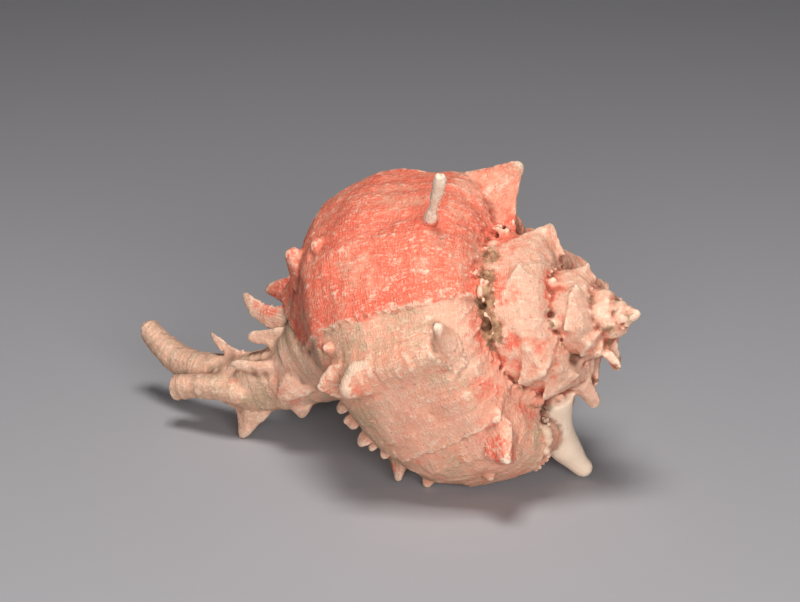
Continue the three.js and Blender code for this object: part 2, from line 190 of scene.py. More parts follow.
def on_whorl(line, share):
    angle, radius, depth, lift = whorl_point(line, share)
    return shell_point(angle, radius + lift, depth)


def line_through(angle, share):
    return angle + LINE_LEAN * (share - SHOULDER_SHARE)


def foot_point(line, share, sunk):
    angle, radius, depth, _ = whorl_point(line, share)
    return shell_point(angle, radius * (1 - sunk), depth)


# Every source surface is a grid of rings. Beside its points it carries these fields, which the
# skin takes over from the nearest point: growth line, share of the profile, place along a spine,
# and how much it is a spine, the canal, a blade, a smooth horn, the mouth or a whitened spine.
FLAGS = ("spine", "canal", "blade", "smooth", "mouth", "white")
FIELDS = ("line", "share", "along") + FLAGS
grids = []


def add_grid(points, seen=None, **fields):
    """Keeps a grid of rings. Of each ring the skin reads the first points, as many as are seen."""
    shape = points.shape[:2]
    values = [np.broadcast_to(np.asarray(fields.get(name, 0), float), shape) for name in FIELDS]
    grids.append({"points": points, "seen": seen or shape[1], "values": np.stack(values, -1)})


def whorl_surface():
    """The whorls, in wedges of half a turn that are closed along the axis."""
    step_count = round(TURNS * 360 / WHORL_STEP)
    steps = np.arange(step_count + 1)
    lines = np.concatenate([[LIP_ANGLE, LIP_ANGLE - 2], FIRST_VARIX - steps * WHORL_STEP])
    per_wedge = round(180 / WHORL_STEP)
    shares = np.linspace(0, 1, WHORL_ROWS)
    for first in range(0, len(lines) - 1, per_wedge):
        part = lines[max(0, first - 1):first + per_wedge + 1]
        outer = on_whorl(part[:, None], shares[None, :])
        inner = []
        for share, row in ((1, -1), (0, 0)):
            angle = part - LINE_LEAN * (share - SHOULDER_SHARE)
            depth = PROFILE[row][0] * axial_size(angle)
            inner.append(shell_point(angle, AXIS_CLEARANCE * radial_size(angle), depth))
        ring = np.concatenate([outer, np.stack(inner, 1)], 1)
        share_of = np.concatenate([shares, (1, 0)])
        add_grid(ring, seen=WHORL_ROWS, line=part[:, None], share=share_of[None, :])


def section(count, power, cup, wall):
    """The outline of a spine across: a superellipse, hollowed on its positive side by the cup."""
    turn = 2 * np.pi * np.arange(count) / count
    x = np.sign(np.cos(turn)) * np.abs(np.cos(turn)) ** (2 / power)
    y = np.sign(np.sin(turn)) * np.abs(np.sin(turn)) ** (2 / power)
    hollowed = -np.abs(y) + wall * (1 - x ** 4)
    return x, np.where(y > 0, y + (hollowed - y) * cup, y)


SPINE_SIDES = 28
SPINE_RINGS = 26
SHOULDER_RADIUS = 45


def rounded(share, length, tip):
    """A factor that rounds the end off over the tip's own half width."""
    start = 1 - min(0.5, tip / max(length, 1e-6))
    over = np.clip((share - start) / (1 - start), 0, 1)
    return np.sqrt(np.maximum(0.04, 1 - over * over))


def spine(foot, tip, wide, thick, least, across, hollow, bend=None, cup=0, power=1.5, newer=None,
          **fields):
    """A spine from foot to tip. It narrows sooner where it is more hollow, and its cup faces newer."""
    foot, tip = np.asarray(foot, float), np.asarray(tip, float)
    length = np.linalg.norm(tip - foot)
    share = np.linspace(0, 1, SPINE_RINGS) ** 0.9
    centre = foot + (tip - foot) * share[:, None]
    if bend is not None:
        centre = centre + bend * (4 * share * (1 - share))[:, None]
    along = unit(np.gradient(centre, axis=0))
    side = unit(across - along * (along @ across)[:, None])
    other = np.cross(along, side)
    if newer is not None and np.mean(other @ newer) < 0:
        other = -other
    narrow = (1 - share) ** hollow
    end = rounded(share, length, least)
    wide_at = (least + (wide - least) * narrow) * end
    thick_at = (least + (thick - least) * narrow) * end
    rings = []
    for k, s in enumerate(share):
        strength = cup * smoothstep(0.12, 0.35, s) * (1 - smoothstep(0.8, 0.97, s))
        shape = 2 - (2 - power) * (1 - smoothstep(0.45, 0.95, s))
        x, y = section(SPINE_SIDES, shape, strength, min(1.2, 0.75 / max(thick_at[k], 0.3)))
        rings.append(centre[k] + side[k] * (x * wide_at[k])[:, None] + other[k] * (y * thick_at[k])[:, None])
    around = np.cos(2 * np.pi * np.arange(SPINE_SIDES) / SPINE_SIDES)
    line, foot_share = fields.pop("line"), fields.pop("share")
    size = radial_size(line)
    per_degree = math.radians(1) * SHOULDER_RADIUS * size
    add_grid(np.array(rings), along=share[:, None],
             line=line + 0.35 * (share * length)[:, None] / per_degree,
             share=foot_share + 0.8 * around[None, :] * wide / (PROFILE_LENGTH * size), **fields)


def down_profile(line, share):
    return unit(on_whorl(line, share + 0.04) - on_whorl(line, share - 0.04))


def towards_newer(line, share):
    return unit(on_whorl(line + 2, share) - on_whorl(line - 2, share))


def whorl_spine(entry, line, share, sunk, tip, scale=1, **settings):
    """A spine that stands on a whorl at a growth line and share, with its entry's sizes."""
    foot = shell_point(*entry["base"]) if "base" in entry else foot_point(line, share, sunk)
    spine(foot, tip, entry["wide"] * scale, entry["thick"] * scale, entry["tip"] * scale,
          down_profile(line, share), entry["hollow"], line=line, share=share, **settings)


# Shoulder spines of the last whorl, from the lip backwards
SHOULDER_SPINE = dict(cup=0, power=1.5, white=0)
SHOULDER_SPINES = (
    dict(foot=148, angle=150, radius=57, depth=58, wide=8, thick=5, tip=1.6, share=0.34, hollow=1.1,
         cup=0.9),
    dict(foot=96, angle=97, radius=48.5, depth=37, wide=13, thick=6, tip=1.6, share=0.3, hollow=1.15,
         cup=0.35),
    dict(foot=50, angle=47, radius=62.5, depth=37, wide=1.7, thick=1.6, tip=1.9, share=0.385, hollow=0.7,
         power=1.9, white=1, base=(51.3, 40.5, 53)),
    dict(foot=-9, angle=4.5, radius=45.3, depth=42.8, wide=5, thick=7, tip=1.5, share=0.35, hollow=1.0,
         power=1.7, white=0.34, base=(-8.5, 33, 46)),
)

# The spire's spines: most stand at one place of the scaled section, and these, by number, elsewhere
SPIRE_TIP = dict(radius=53, depth=48, wide=10, thick=8, tip=1.3, hollow=1.2)
SPIRE_TIPS = {
    8: dict(radius=52, depth=48),
    12: dict(radius=68, depth=52.5, wide=14, thick=12, tip=3.8, hollow=1.0, base=(-97, 16, 25.5)),
    15: dict(radius=54, depth=51.5),
    19: dict(radius=66, depth=45),
}
SPINED_VARICES = (6, 7, 8, 12, 13, 14, 15, 18, 19, 20, 21)
SPIRE_FOOT_SHARE = 0.32


def shoulder_spines():
    for own in SHOULDER_SPINES:
        entry = {**SHOULDER_SPINE, **own}
        share = entry["share"]
        line = line_through(entry["foot"], share)
        tip = shell_point(entry["angle"], entry["radius"], entry["depth"])
        whorl_spine(entry, line, share, 0.1, tip, cup=entry["cup"], power=entry["power"],
                    newer=towards_newer(line, share), spine=1, white=entry["white"])


def spire_spines():
    share = SPIRE_FOOT_SHARE
    for k in SPINED_VARICES:
        line = FIRST_VARIX - k * VARIX_STEP
        size = radial_size(line)
        entry = {**SPIRE_TIP, **SPIRE_TIPS.get(k, {})}
        tip = shell_point(line, entry["radius"] * size, entry["depth"] * axial_size(line))
        whorl_spine(entry, line, share, 0.15, tip, size, cup=0.2, power=1.25,
                    newer=towards_newer(line, share), spine=1)


# Knobs below the shoulder and along the sutures
KNOB = dict(hollow=1.5, sunk=0.12, tip=1)
KNOBS = (
    dict(angle=45, share=0.67, radius=45.8, depth=88, wide=6, thick=9, hollow=1.0, sunk=0.2, tip=1.6),
    dict(angle=49, share=0.8, radius=40.2, depth=100, wide=5.5, thick=6.5, hollow=0.9, sunk=0.2, tip=1.8),
    dict(foot=-2, angle=0.5, share=0.68, radius=42.4, depth=82.5, wide=9, thick=5, hollow=1.0, sunk=0.22,
         tip=1.2),
    dict(angle=-84, share=0.7, radius=45.1, depth=75.5, wide=6.5, thick=5.5),
    dict(angle=-78, share=0.78, radius=43, depth=82.6, wide=7, thick=6),
    dict(angle=-76, share=0.46, radius=45.5, depth=49.5, wide=6, thick=6),
    dict(angle=-670, share=0.55, radius=17, depth=22, wide=3.6, thick=3.6),
    dict(angle=-720, share=0.55, radius=16.5, depth=21.5, wide=3.6, thick=4),
)


def knobs():
    for own in KNOBS:
        entry = {**KNOB, **own}
        line = line_through(entry.get("foot", entry["angle"]), entry["share"])
        tip = shell_point(entry["angle"], entry["radius"], entry["depth"])
        whorl_spine(entry, line, entry["share"], entry["sunk"], tip, power=1.6, spine=0.6)


# The old horn beside the spire, bent like a boot: turn angle, radius and depth, with its half width
HORN = (
    ((-92, 20, 32.5), 6.6), ((-104, 27, 36.2), 5.9), ((-109.5, 32.5, 37.8), 5.2), ((-113, 37, 38.8), 5.0),
    ((-115, 41, 39.1), 4.9), ((-116.8, 45, 38.6), 4.1), ((-118, 48.8, 37.8), 3.2),
    ((-119, 51.6, 36.8), 2.7), ((-119.6, 53.2, 36.2), 1.2),
)
HORN_LINE = -100


def sweep(centre, radius, sides):
    """Round rings of these radii along a line of points."""
    along = unit(np.gradient(centre, axis=0))
    across = np.array((1.0, 0, 0))
    side = unit(across - along * (along @ across)[:, None])
    other = np.cross(along, side)
    turn = 2 * np.pi * np.arange(sides) / sides
    ring = side[:, None, :] * np.cos(turn)[None, :, None] + other[:, None, :] * np.sin(turn)[None, :, None]
    return centre[:, None, :] + ring * radius[:, None, None]


def rod_rings(points, widths, share, sides, round_end=0.0):
    """Rings of a bent rod through these points, at these shares of its length."""
    radius = catmull_rom(np.array(widths, float)[:, None], share)[:, 0]
    if round_end:
        radius = radius * rounded(share, 1, round_end)
    return sweep(catmull_rom(np.array(points), share), radius, sides)


def horn():
    share = np.linspace(0, 1, 40)
    rings = rod_rings([shell_point(*at) for at, _ in HORN], [width for _, width in HORN], share, 28)
    add_grid(rings, line=HORN_LINE, share=0.3, along=share[:, None], smooth=1, spine=0.6)


# The spire's crags: flat-sided peaks. Each is the hull of places given as angle, radius and depth.
# The first is the form that most varices of the spire have, scaled, from its own peak's angle.
CRAG = (
    (0, 53, 48), (-32, 50, 69.5), (-53, 47, 55.5), (-10, 34.5, 45), (-7, 40, 67), (-35, 38, 74),
    (-25, 22, 55),
)
CRAG_VARICES = (6, 7, 8, 12, 13, 14, 15, 16, 17, 18, 19)
PLACED_CRAGS = (
    ((45, 26.8, 28.2), (12.5, 25.2, 35.5), (-8, 22.9, 27.6), (35, 17.8, 23.7), (38, 21, 36), (10, 19, 38),
     (20, 12, 30)),
    ((-38, 23.4, 24), (-11, 23, 27.3), (-12, 14.2, 19.8), (-41, 25.6, 33.5), (-62, 20, 30), (-35, 12, 28)),
    ((-60, 25.6, 29.8), (-44, 19.5, 25), (-68, 17, 19), (-80, 19.5, 24), (-84, 21, 31), (-60, 12, 26)),
    ((34, 15.2, 16), (-11, 15.8, 18.6), (-20, 12, 16.5), (2, 11.5, 13.5), (24, 11, 14.5), (40, 12, 19),
     (10, 8, 17)),
    ((-34, 13.4, 12.6), (-20, 12, 15.5), (-52, 13.6, 17.5), (-60, 10, 13), (-30, 8, 10.5), (-45, 6, 15)),
)

# Flat-sided forms elsewhere, given in the same way: the red blade low on the fifth varix, the two
# teeth on the keel and a leaf beside the apex
FLAKES = (
    ((-55, 46.8, 34.8), (-42, 33.4, 38.4), (-57, 42.6, 44.6), (-66, 43, 42.5), (-50, 35, 34),
     (-73, 39.5, 38.5), (-50, 28, 40)),
    ((-15.6, 46.8, 75.7), (-9, 44.6, 71.8), (-5, 41.2, 59.5), (-27, 38.5, 75.7), (-20, 40.2, 62),
     (-14, 33, 74)),
    ((-14.7, 43.6, 87.0), (-8, 41.6, 82.7), (-4, 40.4, 74), (-24, 38.2, 81), (-18, 38, 86), (-12, 31, 82)),
    ((-82, 15.4, 7), (-90, 16.6, 9), (-60, 11.5, 12), (-97, 16, 12), (-72, 11, 9), (-85, 8, 13)),
)


def crags():
    """Point sets whose hulls are added to the skin's source."""
    sets = [shell_point(*np.array(places, float).T) for places in PLACED_CRAGS + FLAKES]
    for k in CRAG_VARICES:
        peak = FIRST_VARIX - k * VARIX_STEP
        turn, radius, depth = np.array(CRAG, float).T
        angle = peak + turn
        sets.append(shell_point(angle, radius * radial_size(angle), depth * axial_size(angle)))
    return sets


# The canal: a thick neck, its open tube and the stub of an older one, as centre and half width
NECK = (
    ((88, 0, 2), 19), ((104, 0, -0.6), 17.2), ((112, 0, -3.6), 14.2), ((119, 0.3, -6.4), 11.6),
    ((127, 0.6, -7.9), 10), ((135, 0.8, -8.6), 9), ((142, 0.5, -8), 7.4), ((149, -1, -6), 5),
)
NEW_TUBE = (
    ((128, 0, -5), 6.6), ((138.4, -0.6, -5.1), 6.2), ((150.7, -2.3, -3.8), 5.6), ((161.1, -4.1, -1.2), 5.1),
    ((168, -5.9, 2.5), 4.6), ((173.5, -7, 7.1), 4.2), ((177.2, -7.3, 11.6), 3.8), ((178.2, -7.4, 12.8), 2.8),
)
OLD_TUBE = (
    ((128, 2, -9), 5), ((135.2, 5.6, -10.3), 4.8), ((143.2, 7.2, -9), 4.2), ((152.5, 7.1, -7.6), 4),
    ((160.2, 7, -7.3), 4.2),
)
SLIT = (
    ((104, -14, 16), 2.4), ((114, -8, 10), 2.2), ((128, -2, -2), 2), ((138.4, -0.6, -5.1), 1.9),
    ((150.7, -2.3, -3.8), 1.8), ((161.1, -4.1, -1.2), 1.7), ((168, -5.9, 2.5), 1.6), ((173.5, -7, 7.1), 1.6),
    ((180, -7.8, 15), 1.6),
)
OLD_BORE = (((154, 7, -7.5), 1.2), ((164, 7, -7.2), 2))
CANAL_LINE = 60
TUBE_SHARES = np.linspace(0, 1, 60)


def tube_rings(stations, sides, round_end=0.0):
    points = [canal_point(at) for at, _ in stations]
    return rod_rings(points, [width for _, width in stations], TUBE_SHARES, sides, round_end)


def tube(stations, sides, shift, round_end=0.0):
    """A tube of the canal, whose growth lines run along it from the canal's own, shifted."""
    rings = tube_rings(stations, sides, round_end)
    length = np.linalg.norm(np.diff(rings.mean(1), axis=0), axis=1).sum()
    along = TUBE_SHARES[:, None]
    turn = 2 * np.pi * np.arange(sides) / sides
    add_grid(rings, canal=1, along=along, line=CANAL_LINE + shift + 1.3 * length * along,
             share=0.85 + 0.12 * np.cos(turn) + 0.05 * np.sin(2 * turn))


# Blades and fangs on the canal: foot, tip, half widths, how hollow, how bowed and how cupped
BLADES = (
    ((108, -1, 15), (130.2, -4.5, 19.9), 9.5, 2.6, 0.8, (0, 0, 0.6), 0.4),
    ((112, 4, 7), (135.1, 0.6, 19.7), 6.5, 2.8, 0.75, (2.2, 0.5, -1.2), 1),
    ((110, 7, 0), (131.2, 6.4, 5.5), 5.8, 3.2, 0.7, (0, 1.8, 1.4), -0.6),
    ((116, 5, -6), (148.9, 1.2, 8.9), 7.5, 3, 0.9, (1.5, 0.5, -4.2), -1),
    ((112, 9, -5), (136.4, 10.4, -1.8), 3.6, 2.4, 0.8, (0, 0.6, -0.4), 0),
    ((133, 1, -6), (142, 0.4, -25.6), 15, 7, 1.15, (-1, 0.6, 0), 0.15),
    ((116, 2, -7), (118.4, 1.2, -21.4), 11, 7, 0.9, (0, 0.6, 0), 0.3),
    ((107, 8, -5), (119.4, 11.4, -14.2), 7.5, 3, 0.6, (0, 1.6, 0), 0.3),
)
BLADE_TIP = 0.65
BLADE_POWER = 1.7


def blades():
    for foot, tip, wide, thick, hollow, bow, cup in BLADES:
        foot, tip = canal_point(foot), canal_point(tip)
        across = unit(np.cross(tip - foot, (1.0, 0, 0)))
        flat = np.cross(unit(tip - foot), across)
        facing = flat if cup >= 0 else -flat
        spine(foot, tip, wide, thick, BLADE_TIP, across, hollow, canal_point(bow), abs(cup), BLADE_POWER,
              facing, line=CANAL_LINE, share=0.85, blade=1, canal=0.5)


# Holes bored into the shell: turn angle, radius and depth of the mouth and of the end, half width
HOLES = (
    ((-77, 25, 30.2), (-86, 12, 34), 1.5),
    ((-77, 28, 31), (-84, 15, 35), 1.7),
    ((-79, 31, 32.3), (-85, 20, 35), 1.1),
    ((11, 15.5, 22.2), (11, 10, 24), 1.0),
    ((-58, 14.6, 19), (-62, 8, 21), 1.5),
    ((110, 33, 45), (108, 26, 46), 0.8),
    ((80.7, 28, 41.2), (82, 21, 42.5), 0.9),
    ((59.3, 26.7, 39.2), (60, 20, 41), 0.7),
    ((32, 26.5, 39.8), (33, 19, 41), 0.9),
    ((18, 25.4, 38.6), (19, 19, 40), 1.0),
    ((4, 24.6, 36.6), (5, 18, 38), 0.8),
)


def hole_line(first, last, shares):
    """Places along a hole, at these shares of its length."""
    first, last = shell_point(*first), shell_point(*last)
    return first + (last - first) * np.array(shares)[:, None]


def bore_holes():
    shares = np.linspace(0, 1, 8)
    cutters = []
    for first, last, width in HOLES:
        wander = 0.5 * width * np.sin(7 * shares[:, None] + np.arange(3))
        cutters.append(sweep(hole_line(first, last, shares) + wander, width * (1.15 - 0.5 * shares), 12))
    return cutters


# Sandy crust in the suture above the last whorl, as turn angle, radius and depth of its middle
CRUST_PATH = np.array([
    (-34, 25.5, 36), (-10, 24.4, 36.8), (4, 23.9, 36.9), (18, 24.4, 38.4), (28, 25.0, 39.1),
    (45, 25.4, 39), (60, 25.9, 39.6), (80, 27.3, 41.2), (94, 30.3, 44.5), (112, 32.6, 46.6),
])
CRUST_SEED = 7
CRUST_COUNT = 150
CRUST_SPREAD = (1.2, 1.2, 1.7)
CRUST_LIFT = 1.1
CRUST_REACH = 2.9
# Where it is thick: turn angle, how far that reaches, and how much of it is sand
CRUST_DENSE = ((26, 12, 1), (56, 7, 0.35), (86, 11, 0.15), (0, 8, 0.8))


def crust_place(angle):
    radius, depth = (np.interp(angle, CRUST_PATH[:, 0], CRUST_PATH[:, k]) for k in (1, 2))
    return radius, depth


def crust_density(angle, sandy=False):
    """How thick the crust is at this turn angle or, if sandy, how thick its sand is."""
    near = [(math.exp(-((angle - at) / reach) ** 2), sand) for at, reach, sand in CRUST_DENSE]
    return max(value * (sand if sandy else 1) for value, sand in near)


def crust_lumps():
    """Small many-sided lumps of crust along the suture."""
    rng = np.random.default_rng(CRUST_SEED)
    lumps = []
    while len(lumps) < CRUST_COUNT:
        angle = rng.uniform(CRUST_PATH[0, 0], CRUST_PATH[-1, 0])
        radius, depth = crust_place(angle)
        dense = crust_density(angle)
        size = rng.uniform(0.5, 1.2) * (0.5 + 1.0 * dense)
        corners = unit(rng.normal(size=(9, 3))) * size * rng.uniform(0.5, 1.3, (9, 1))
        if rng.random() < dense:
            jitter = rng.normal(size=3) * CRUST_SPREAD * (0.5 + 0.7 * dense)
            lumps.append(shell_point(angle, radius + CRUST_LIFT, depth) + jitter + corners * (1.2, 1.2, 0.6))
    return lumps


# The newer sheet ends over the horn in a row of scales: the row's path, and each scale's size
SCALE_PATH = np.array([
    (-77.5, 26.6, 31.2), (-79.5, 29.8, 32.6), (-83, 32.4, 33.2), (-87, 35.1, 34.8), (-90.5, 38.5, 35.9),
    (-94, 41.4, 39), (-97, 43, 43),
])
SCALE_COUNT = 13
SCALE_SIZE = (1.5, 1.3, 1.5)
SCALE_CORNERS = np.array([
    (1, 0, 0), (-1, 0, 0), (0, 1, 0), (0, -1, 0), (0, 0, 1), (0, 0, -1), (0.7, 0.7, 0.3), (-0.7, 0.7, -0.3),
    (0.7, -0.7, 0.3),
])


def scales():
    """The scales along the sheet's edge, as point sets."""
    rng = np.random.default_rng(CRUST_SEED)
    places = catmull_rom(SCALE_PATH, np.linspace(0, 1, SCALE_COUNT))
    return [shell_point(*place) + SCALE_CORNERS * SCALE_SIZE * rng.uniform(0.75, 1.15) for place in places]


# Loose frills on the fifth varix, further down
FRILLS = (
    (-45, 27.4, 94.8), (-49, 29.6, 93), (-52.5, 31.4, 91), (-56, 34.9, 88.9), (-60, 36.4, 86),
    (-65, 38.2, 82.5),
)
FRILL_LINE = -50
FRILL_LENGTH = 8
FRILL_CURL = 1.6
AXIS_DOWN = np.array((0, 0, -1.0))


def frills():
    for k, (angle, radius, depth) in enumerate(FRILLS):
        foot = shell_point(angle + 2, radius - FRILL_LENGTH, depth - FRILL_LENGTH)
        curl = FRILL_CURL * np.array((math.cos(2.4 * k), math.sin(2.4 * k), 0.5))
        spine(foot, shell_point(angle, radius, depth), wide=5.2, thick=2.2, least=0.7, across=AXIS_DOWN,
              hollow=0.55, bend=curl, cup=0.9, power=1.7, line=FRILL_LINE, share=0.85, blade=1)


# The solid core on the axis, as depth and radius, with a growth line before the spire's first
CORE = ((0.6, 0.02), (1.2, 1.1), (3, 2.2), (7, 3.6), (14, 6), (30, 10), (60, 13), (92, 13), (96, 0.02))
CORE_SIDES = 24
CORE_LINE = -1400


def core():
    turn = np.arange(CORE_SIDES) * 360 / CORE_SIDES
    rings = np.array([shell_point(turn, radius, depth) for depth, radius in CORE])
    add_grid(rings, line=CORE_LINE, share=0.3)


# The mouth: growth line, middle's radius and depth, half widths across and along, before scaling
MOUTH = np.array([
    (164, 33, 84, 15.5, 27), (148, 32, 82, 14.5, 26), (120, 31.5, 80, 14, 24), (85, 31.5, 79, 13, 22),
    (50, 31.5, 78, 12, 20), (15, 31.5, 77, 10, 17), (-20, 31.5, 76, 7.5, 13), (-45, 31.5, 75, 3, 5),
])
MOUTH_SIDES = 56
MOUTH_RINGS = 48
MOUTH_LEAN = 0.29
SHOULDER_DEPTH = 54


def mouth_rings():
    line, radius, depth, across, along = catmull_rom(MOUTH, np.linspace(0, 1, MOUTH_RINGS)).T[..., None]
    turn = 2 * np.pi * np.arange(MOUTH_SIDES)[None, :] / MOUTH_SIDES
    deep = depth + along * np.sin(turn)
    angle = line - MOUTH_LEAN * (deep - SHOULDER_DEPTH)
    wide = (radius + across * np.cos(turn)) * radial_size(line)
    return shell_point(angle, wide, deep * axial_size(line)), line


def pose():
    ch, sh = math.cos(AXIS_HEADING), math.sin(AXIS_HEADING)
    cr, sr = math.cos(AXIS_RISE), math.sin(AXIS_RISE)
    axis = np.array((cr * ch, -cr * sh, sr))
    side = np.array((-sh, -ch, 0))
    front = side * math.cos(AXIS_ROLL) + np.cross(side, axis) * math.sin(AXIS_ROLL)
    return np.stack([front, np.cross(axis, front), axis], 1)


TURNED = pose()
APEX_AT = POSED_AT + TURNED[:, 2] * POSED_DEPTH


def to_world(points):
    return (points @ TURNED.T + APEX_AT) * MM


def to_shell(points):
    return (points / MM - APEX_AT) @ TURNED


def grid_faces(rings, sides, start):
    """Quads of a closed grid of rings, with a cap at each end."""
    faces = []
    for j in range(rings - 1):
        a = start + j * sides
        for i in range(sides):
            b = (i + 1) % sides
            faces.append((a + i, a + b, a + sides + b, a + sides + i))
    last = start + (rings - 1) * sides
    faces.append(tuple(range(start + sides - 1, start - 1, -1)))
    faces.append(tuple(range(last, last + sides)))
    return faces


def signed_volume(points, faces):
    """A number with the sign of the volume inside these quads, whose last two faces are caps."""
    middle = points.mean(0)
    a, b, c, d = (points[[face[k] for face in faces[:-2]]] - middle for k in range(4))
    return (np.cross(a, b) * c).sum() + (np.cross(a, c) * d).sum()


def add_object(name, data):
    obj = bpy.data.objects.new(name, data)
    bpy.context.scene.collection.objects.link(obj)
    return obj


def mesh_object(name, all_rings):
    """One mesh of closed grids, in metres and in place."""
    points, faces, count = [], [], 0
    for rings in all_rings:
        flat = rings.reshape(-1, 3)
        part = grid_faces(rings.shape[0], rings.shape[1], 0)
        if signed_volume(flat, part) < 0:
            part = [f[::-1] for f in part]
        faces.extend(tuple(i + count for i in f) for f in part)
        points.append(flat)
        count += len(flat)
    mesh = bpy.data.meshes.new(name)
    mesh.from_pydata(to_world(np.concatenate(points)).tolist(), [], faces)
    mesh.update()
    return add_object(name, mesh)


def add_hulls(obj, point_sets):
    """Adds the closed hull of each point set to the object's mesh."""
    mesh = bmesh.new()
    mesh.from_mesh(obj.data)
    for points in point_sets:
        corners = [mesh.verts.new(p) for p in to_world(points)]
        result = bmesh.ops.convex_hull(mesh, input=corners)
        left = result["geom_interior"] + result["geom_unused"]
        inside = {v for v in left if isinstance(v, bmesh.types.BMVert)}
        bmesh.ops.delete(mesh, geom=list(inside), context="VERTS")
    mesh.to_mesh(obj.data)
    mesh.free()


def apply_modifier(obj, kind, **settings):
    modifier = obj.modifiers.new("step", kind)
    for key, value in settings.items():
        setattr(modifier, key, value)
    shaped = obj.evaluated_get(bpy.context.evaluated_depsgraph_get())
    mesh = bpy.data.meshes.new_from_object(shaped)
    obj.modifiers.clear()
    old = obj.data
    obj.data = mesh
    bpy.data.meshes.remove(old)


def cut(obj, name, all_rings):
    cutter = mesh_object(name, all_rings)
    apply_modifier(obj, "BOOLEAN", operation="DIFFERENCE", object=cutter, solver="MANIFOLD")
    bpy.data.objects.remove(cutter)


class Skin:
    """The mesh as arrays: points in millimetres in the shell's frame, and neighbours by edge."""

    def __init__(self, obj):
        self.mesh = obj.data
        count = len(self.mesh.vertices)
        flat = np.empty(count * 3, np.float32)
        self.mesh.vertices.foreach_get("co", flat)
        self.points = to_shell(flat.reshape(-1, 3).astype(float))
        ends = np.empty(len(self.mesh.edges) * 2, np.int32)
        self.mesh.edges.foreach_get("vertices", ends)
        self.a, self.b = ends.reshape(-1, 2).T
        self.valence = np.maximum(1, np.bincount(np.concatenate([self.a, self.b]), minlength=count))

    def around(self, values):
        """Each vertex's mean over its neighbours."""
        flat = values.reshape(len(values), -1)
        out = np.empty_like(flat)
        for k in range(flat.shape[1]):
            column = flat[:, k]
            total = np.bincount(self.a, column[self.b], len(column))
            total += np.bincount(self.b, column[self.a], len(column))
            out[:, k] = total / self.valence
        return out.reshape(values.shape)

    def spread(self, values, times):
        for _ in range(times):
            values = 0.5 * values + 0.5 * self.around(values)
        return values

    def normals(self):
        self.store()
        flat = np.empty(len(self.points) * 3, np.float32)
        self.mesh.vertices.foreach_get("normal", flat)
        return flat.reshape(-1, 3).astype(float) @ TURNED

    def store(self):
        self.mesh.vertices.foreach_set("co", to_world(self.points).astype(np.float32).ravel())
        self.mesh.update()


def hashed(cells, seed):
    h = (cells[..., 0] * 73856093) ^ (cells[..., 1] * 19349663) ^ (cells[..., 2] * 83492791)
    h = (h ^ (seed * 26544357)) & 0xFFFFFFFF
    h = ((h ^ (h >> 15)) * 0x2C1B3C6D) & 0xFFFFFFFF
    h = ((h ^ (h >> 12)) * 0x297A2D39) & 0xFFFFFFFF
    return h ^ (h >> 15)


def noise(points, seed=0):
    """Gradient noise from about -1 to 1, the same on every run."""
    cells = np.floor(points).astype(np.int64)
    part = points - cells
    fade = part ** 3 * (part * (part * 6 - 15) + 10)
    total = np.zeros(len(points))
    for corner in itertools.product((0, 1), repeat=3):
        code = hashed(cells + corner, seed)
        pull = np.stack([(code >> shift & 1023) / 511.5 - 1 for shift in (0, 10, 20)], -1)
        weight = np.where(np.array(corner, bool), fade, 1 - fade).prod(-1)
        total += ((part - corner) * pull).sum(-1) * weight
    return total * 1.4


def grown_noise(around, cord, seed):
    """Noise that follows the growth: over places round the whorl and down the profile."""
    return noise(np.stack([around, cord, 0 * cord], -1), seed)


def fractal(points, octaves, seed=0):
    return sum(noise(points * 2 ** k, seed + k) / 2 ** k for k in range(octaves))


def slope_across(values, seen):
    """How values change round the rings, over the join too where the whole ring is seen."""
    if seen == values.shape[1]:
        return (np.roll(values, -1, 1) - np.roll(values, 1, 1)) / 2
    return np.gradient(values[:, :seen], axis=1)


def source_arrays():
    """All grid points and fields with their slopes along and across the rings."""
    kept = {}
    for grid in grids:
        for key in ("points", "values"):
            values = grid[key][:, :grid["seen"]]
            slopes = (np.gradient(values, axis=0), slope_across(grid[key], grid["seen"]))
            for name, part in zip((key, key + "_along", key + "_across"), (values, *slopes)):
                kept.setdefault(name, []).append(part.reshape(-1, part.shape[-1]))
    return {name: np.concatenate(parts) for name, parts in kept.items()}


def read_fields(points, source):
    """The fields of the nearest source point, carried on along its two slopes."""
    tree = KDTree(len(source["points"]))
    for i, point in enumerate(source["points"]):
        tree.insert(point, i)
    tree.balance()
    nearest = np.fromiter((tree.find(p)[1] for p in points), np.int64, len(points))
    along, across = source["points_along"][nearest], source["points_across"][nearest]
    off = points - source["points"][nearest]
    aa, bb, ab = (along ** 2).sum(1), (across ** 2).sum(1), (along * across).sum(1)
    oa, ob = (off * along).sum(1), (off * across).sum(1)
    under = np.maximum(aa * bb - ab * ab, 1e-9)
    u = np.clip((oa * bb - ob * ab) / under, -0.7, 0.7)[:, None]
    v = np.clip((ob * aa - oa * ab) / under, -0.7, 0.7)[:, None]
    values = source["values"][nearest] + u * source["values_along"][nearest]
    values = values + v * source["values_across"][nearest]
    return dict(zip(FIELDS, values.T))


def fill_creases(skin, times):
    """Fills creases where forms meet, and leaves the ridges."""
    for _ in range(times):
        normals = skin.normals()
        pull = skin.around(skin.points) - skin.points
        outward = (pull * normals).sum(1)
        skin.points = skin.points + pull * np.where(outward > 0, 0.55, 0.12)[:, None]
    skin.store()


# The colour boundary and the growth scarp of the last whorl, and the ridge below the middle spine,
# as growth lines
CORAL_EDGE = 15.5
VARIX_SCARP = -48
RIDGE_LINE = -4
RIDGE_WIDTH = 7
RIDGE_HEIGHT = 2.7


def scarp(line, edge, height, reach):
    """A step up at this growth line that dies away towards the newer side."""
    over = line - edge
    return height * smoothstep(-0.7, 0.9, over) * np.exp(-np.maximum(over, 0) / reach)


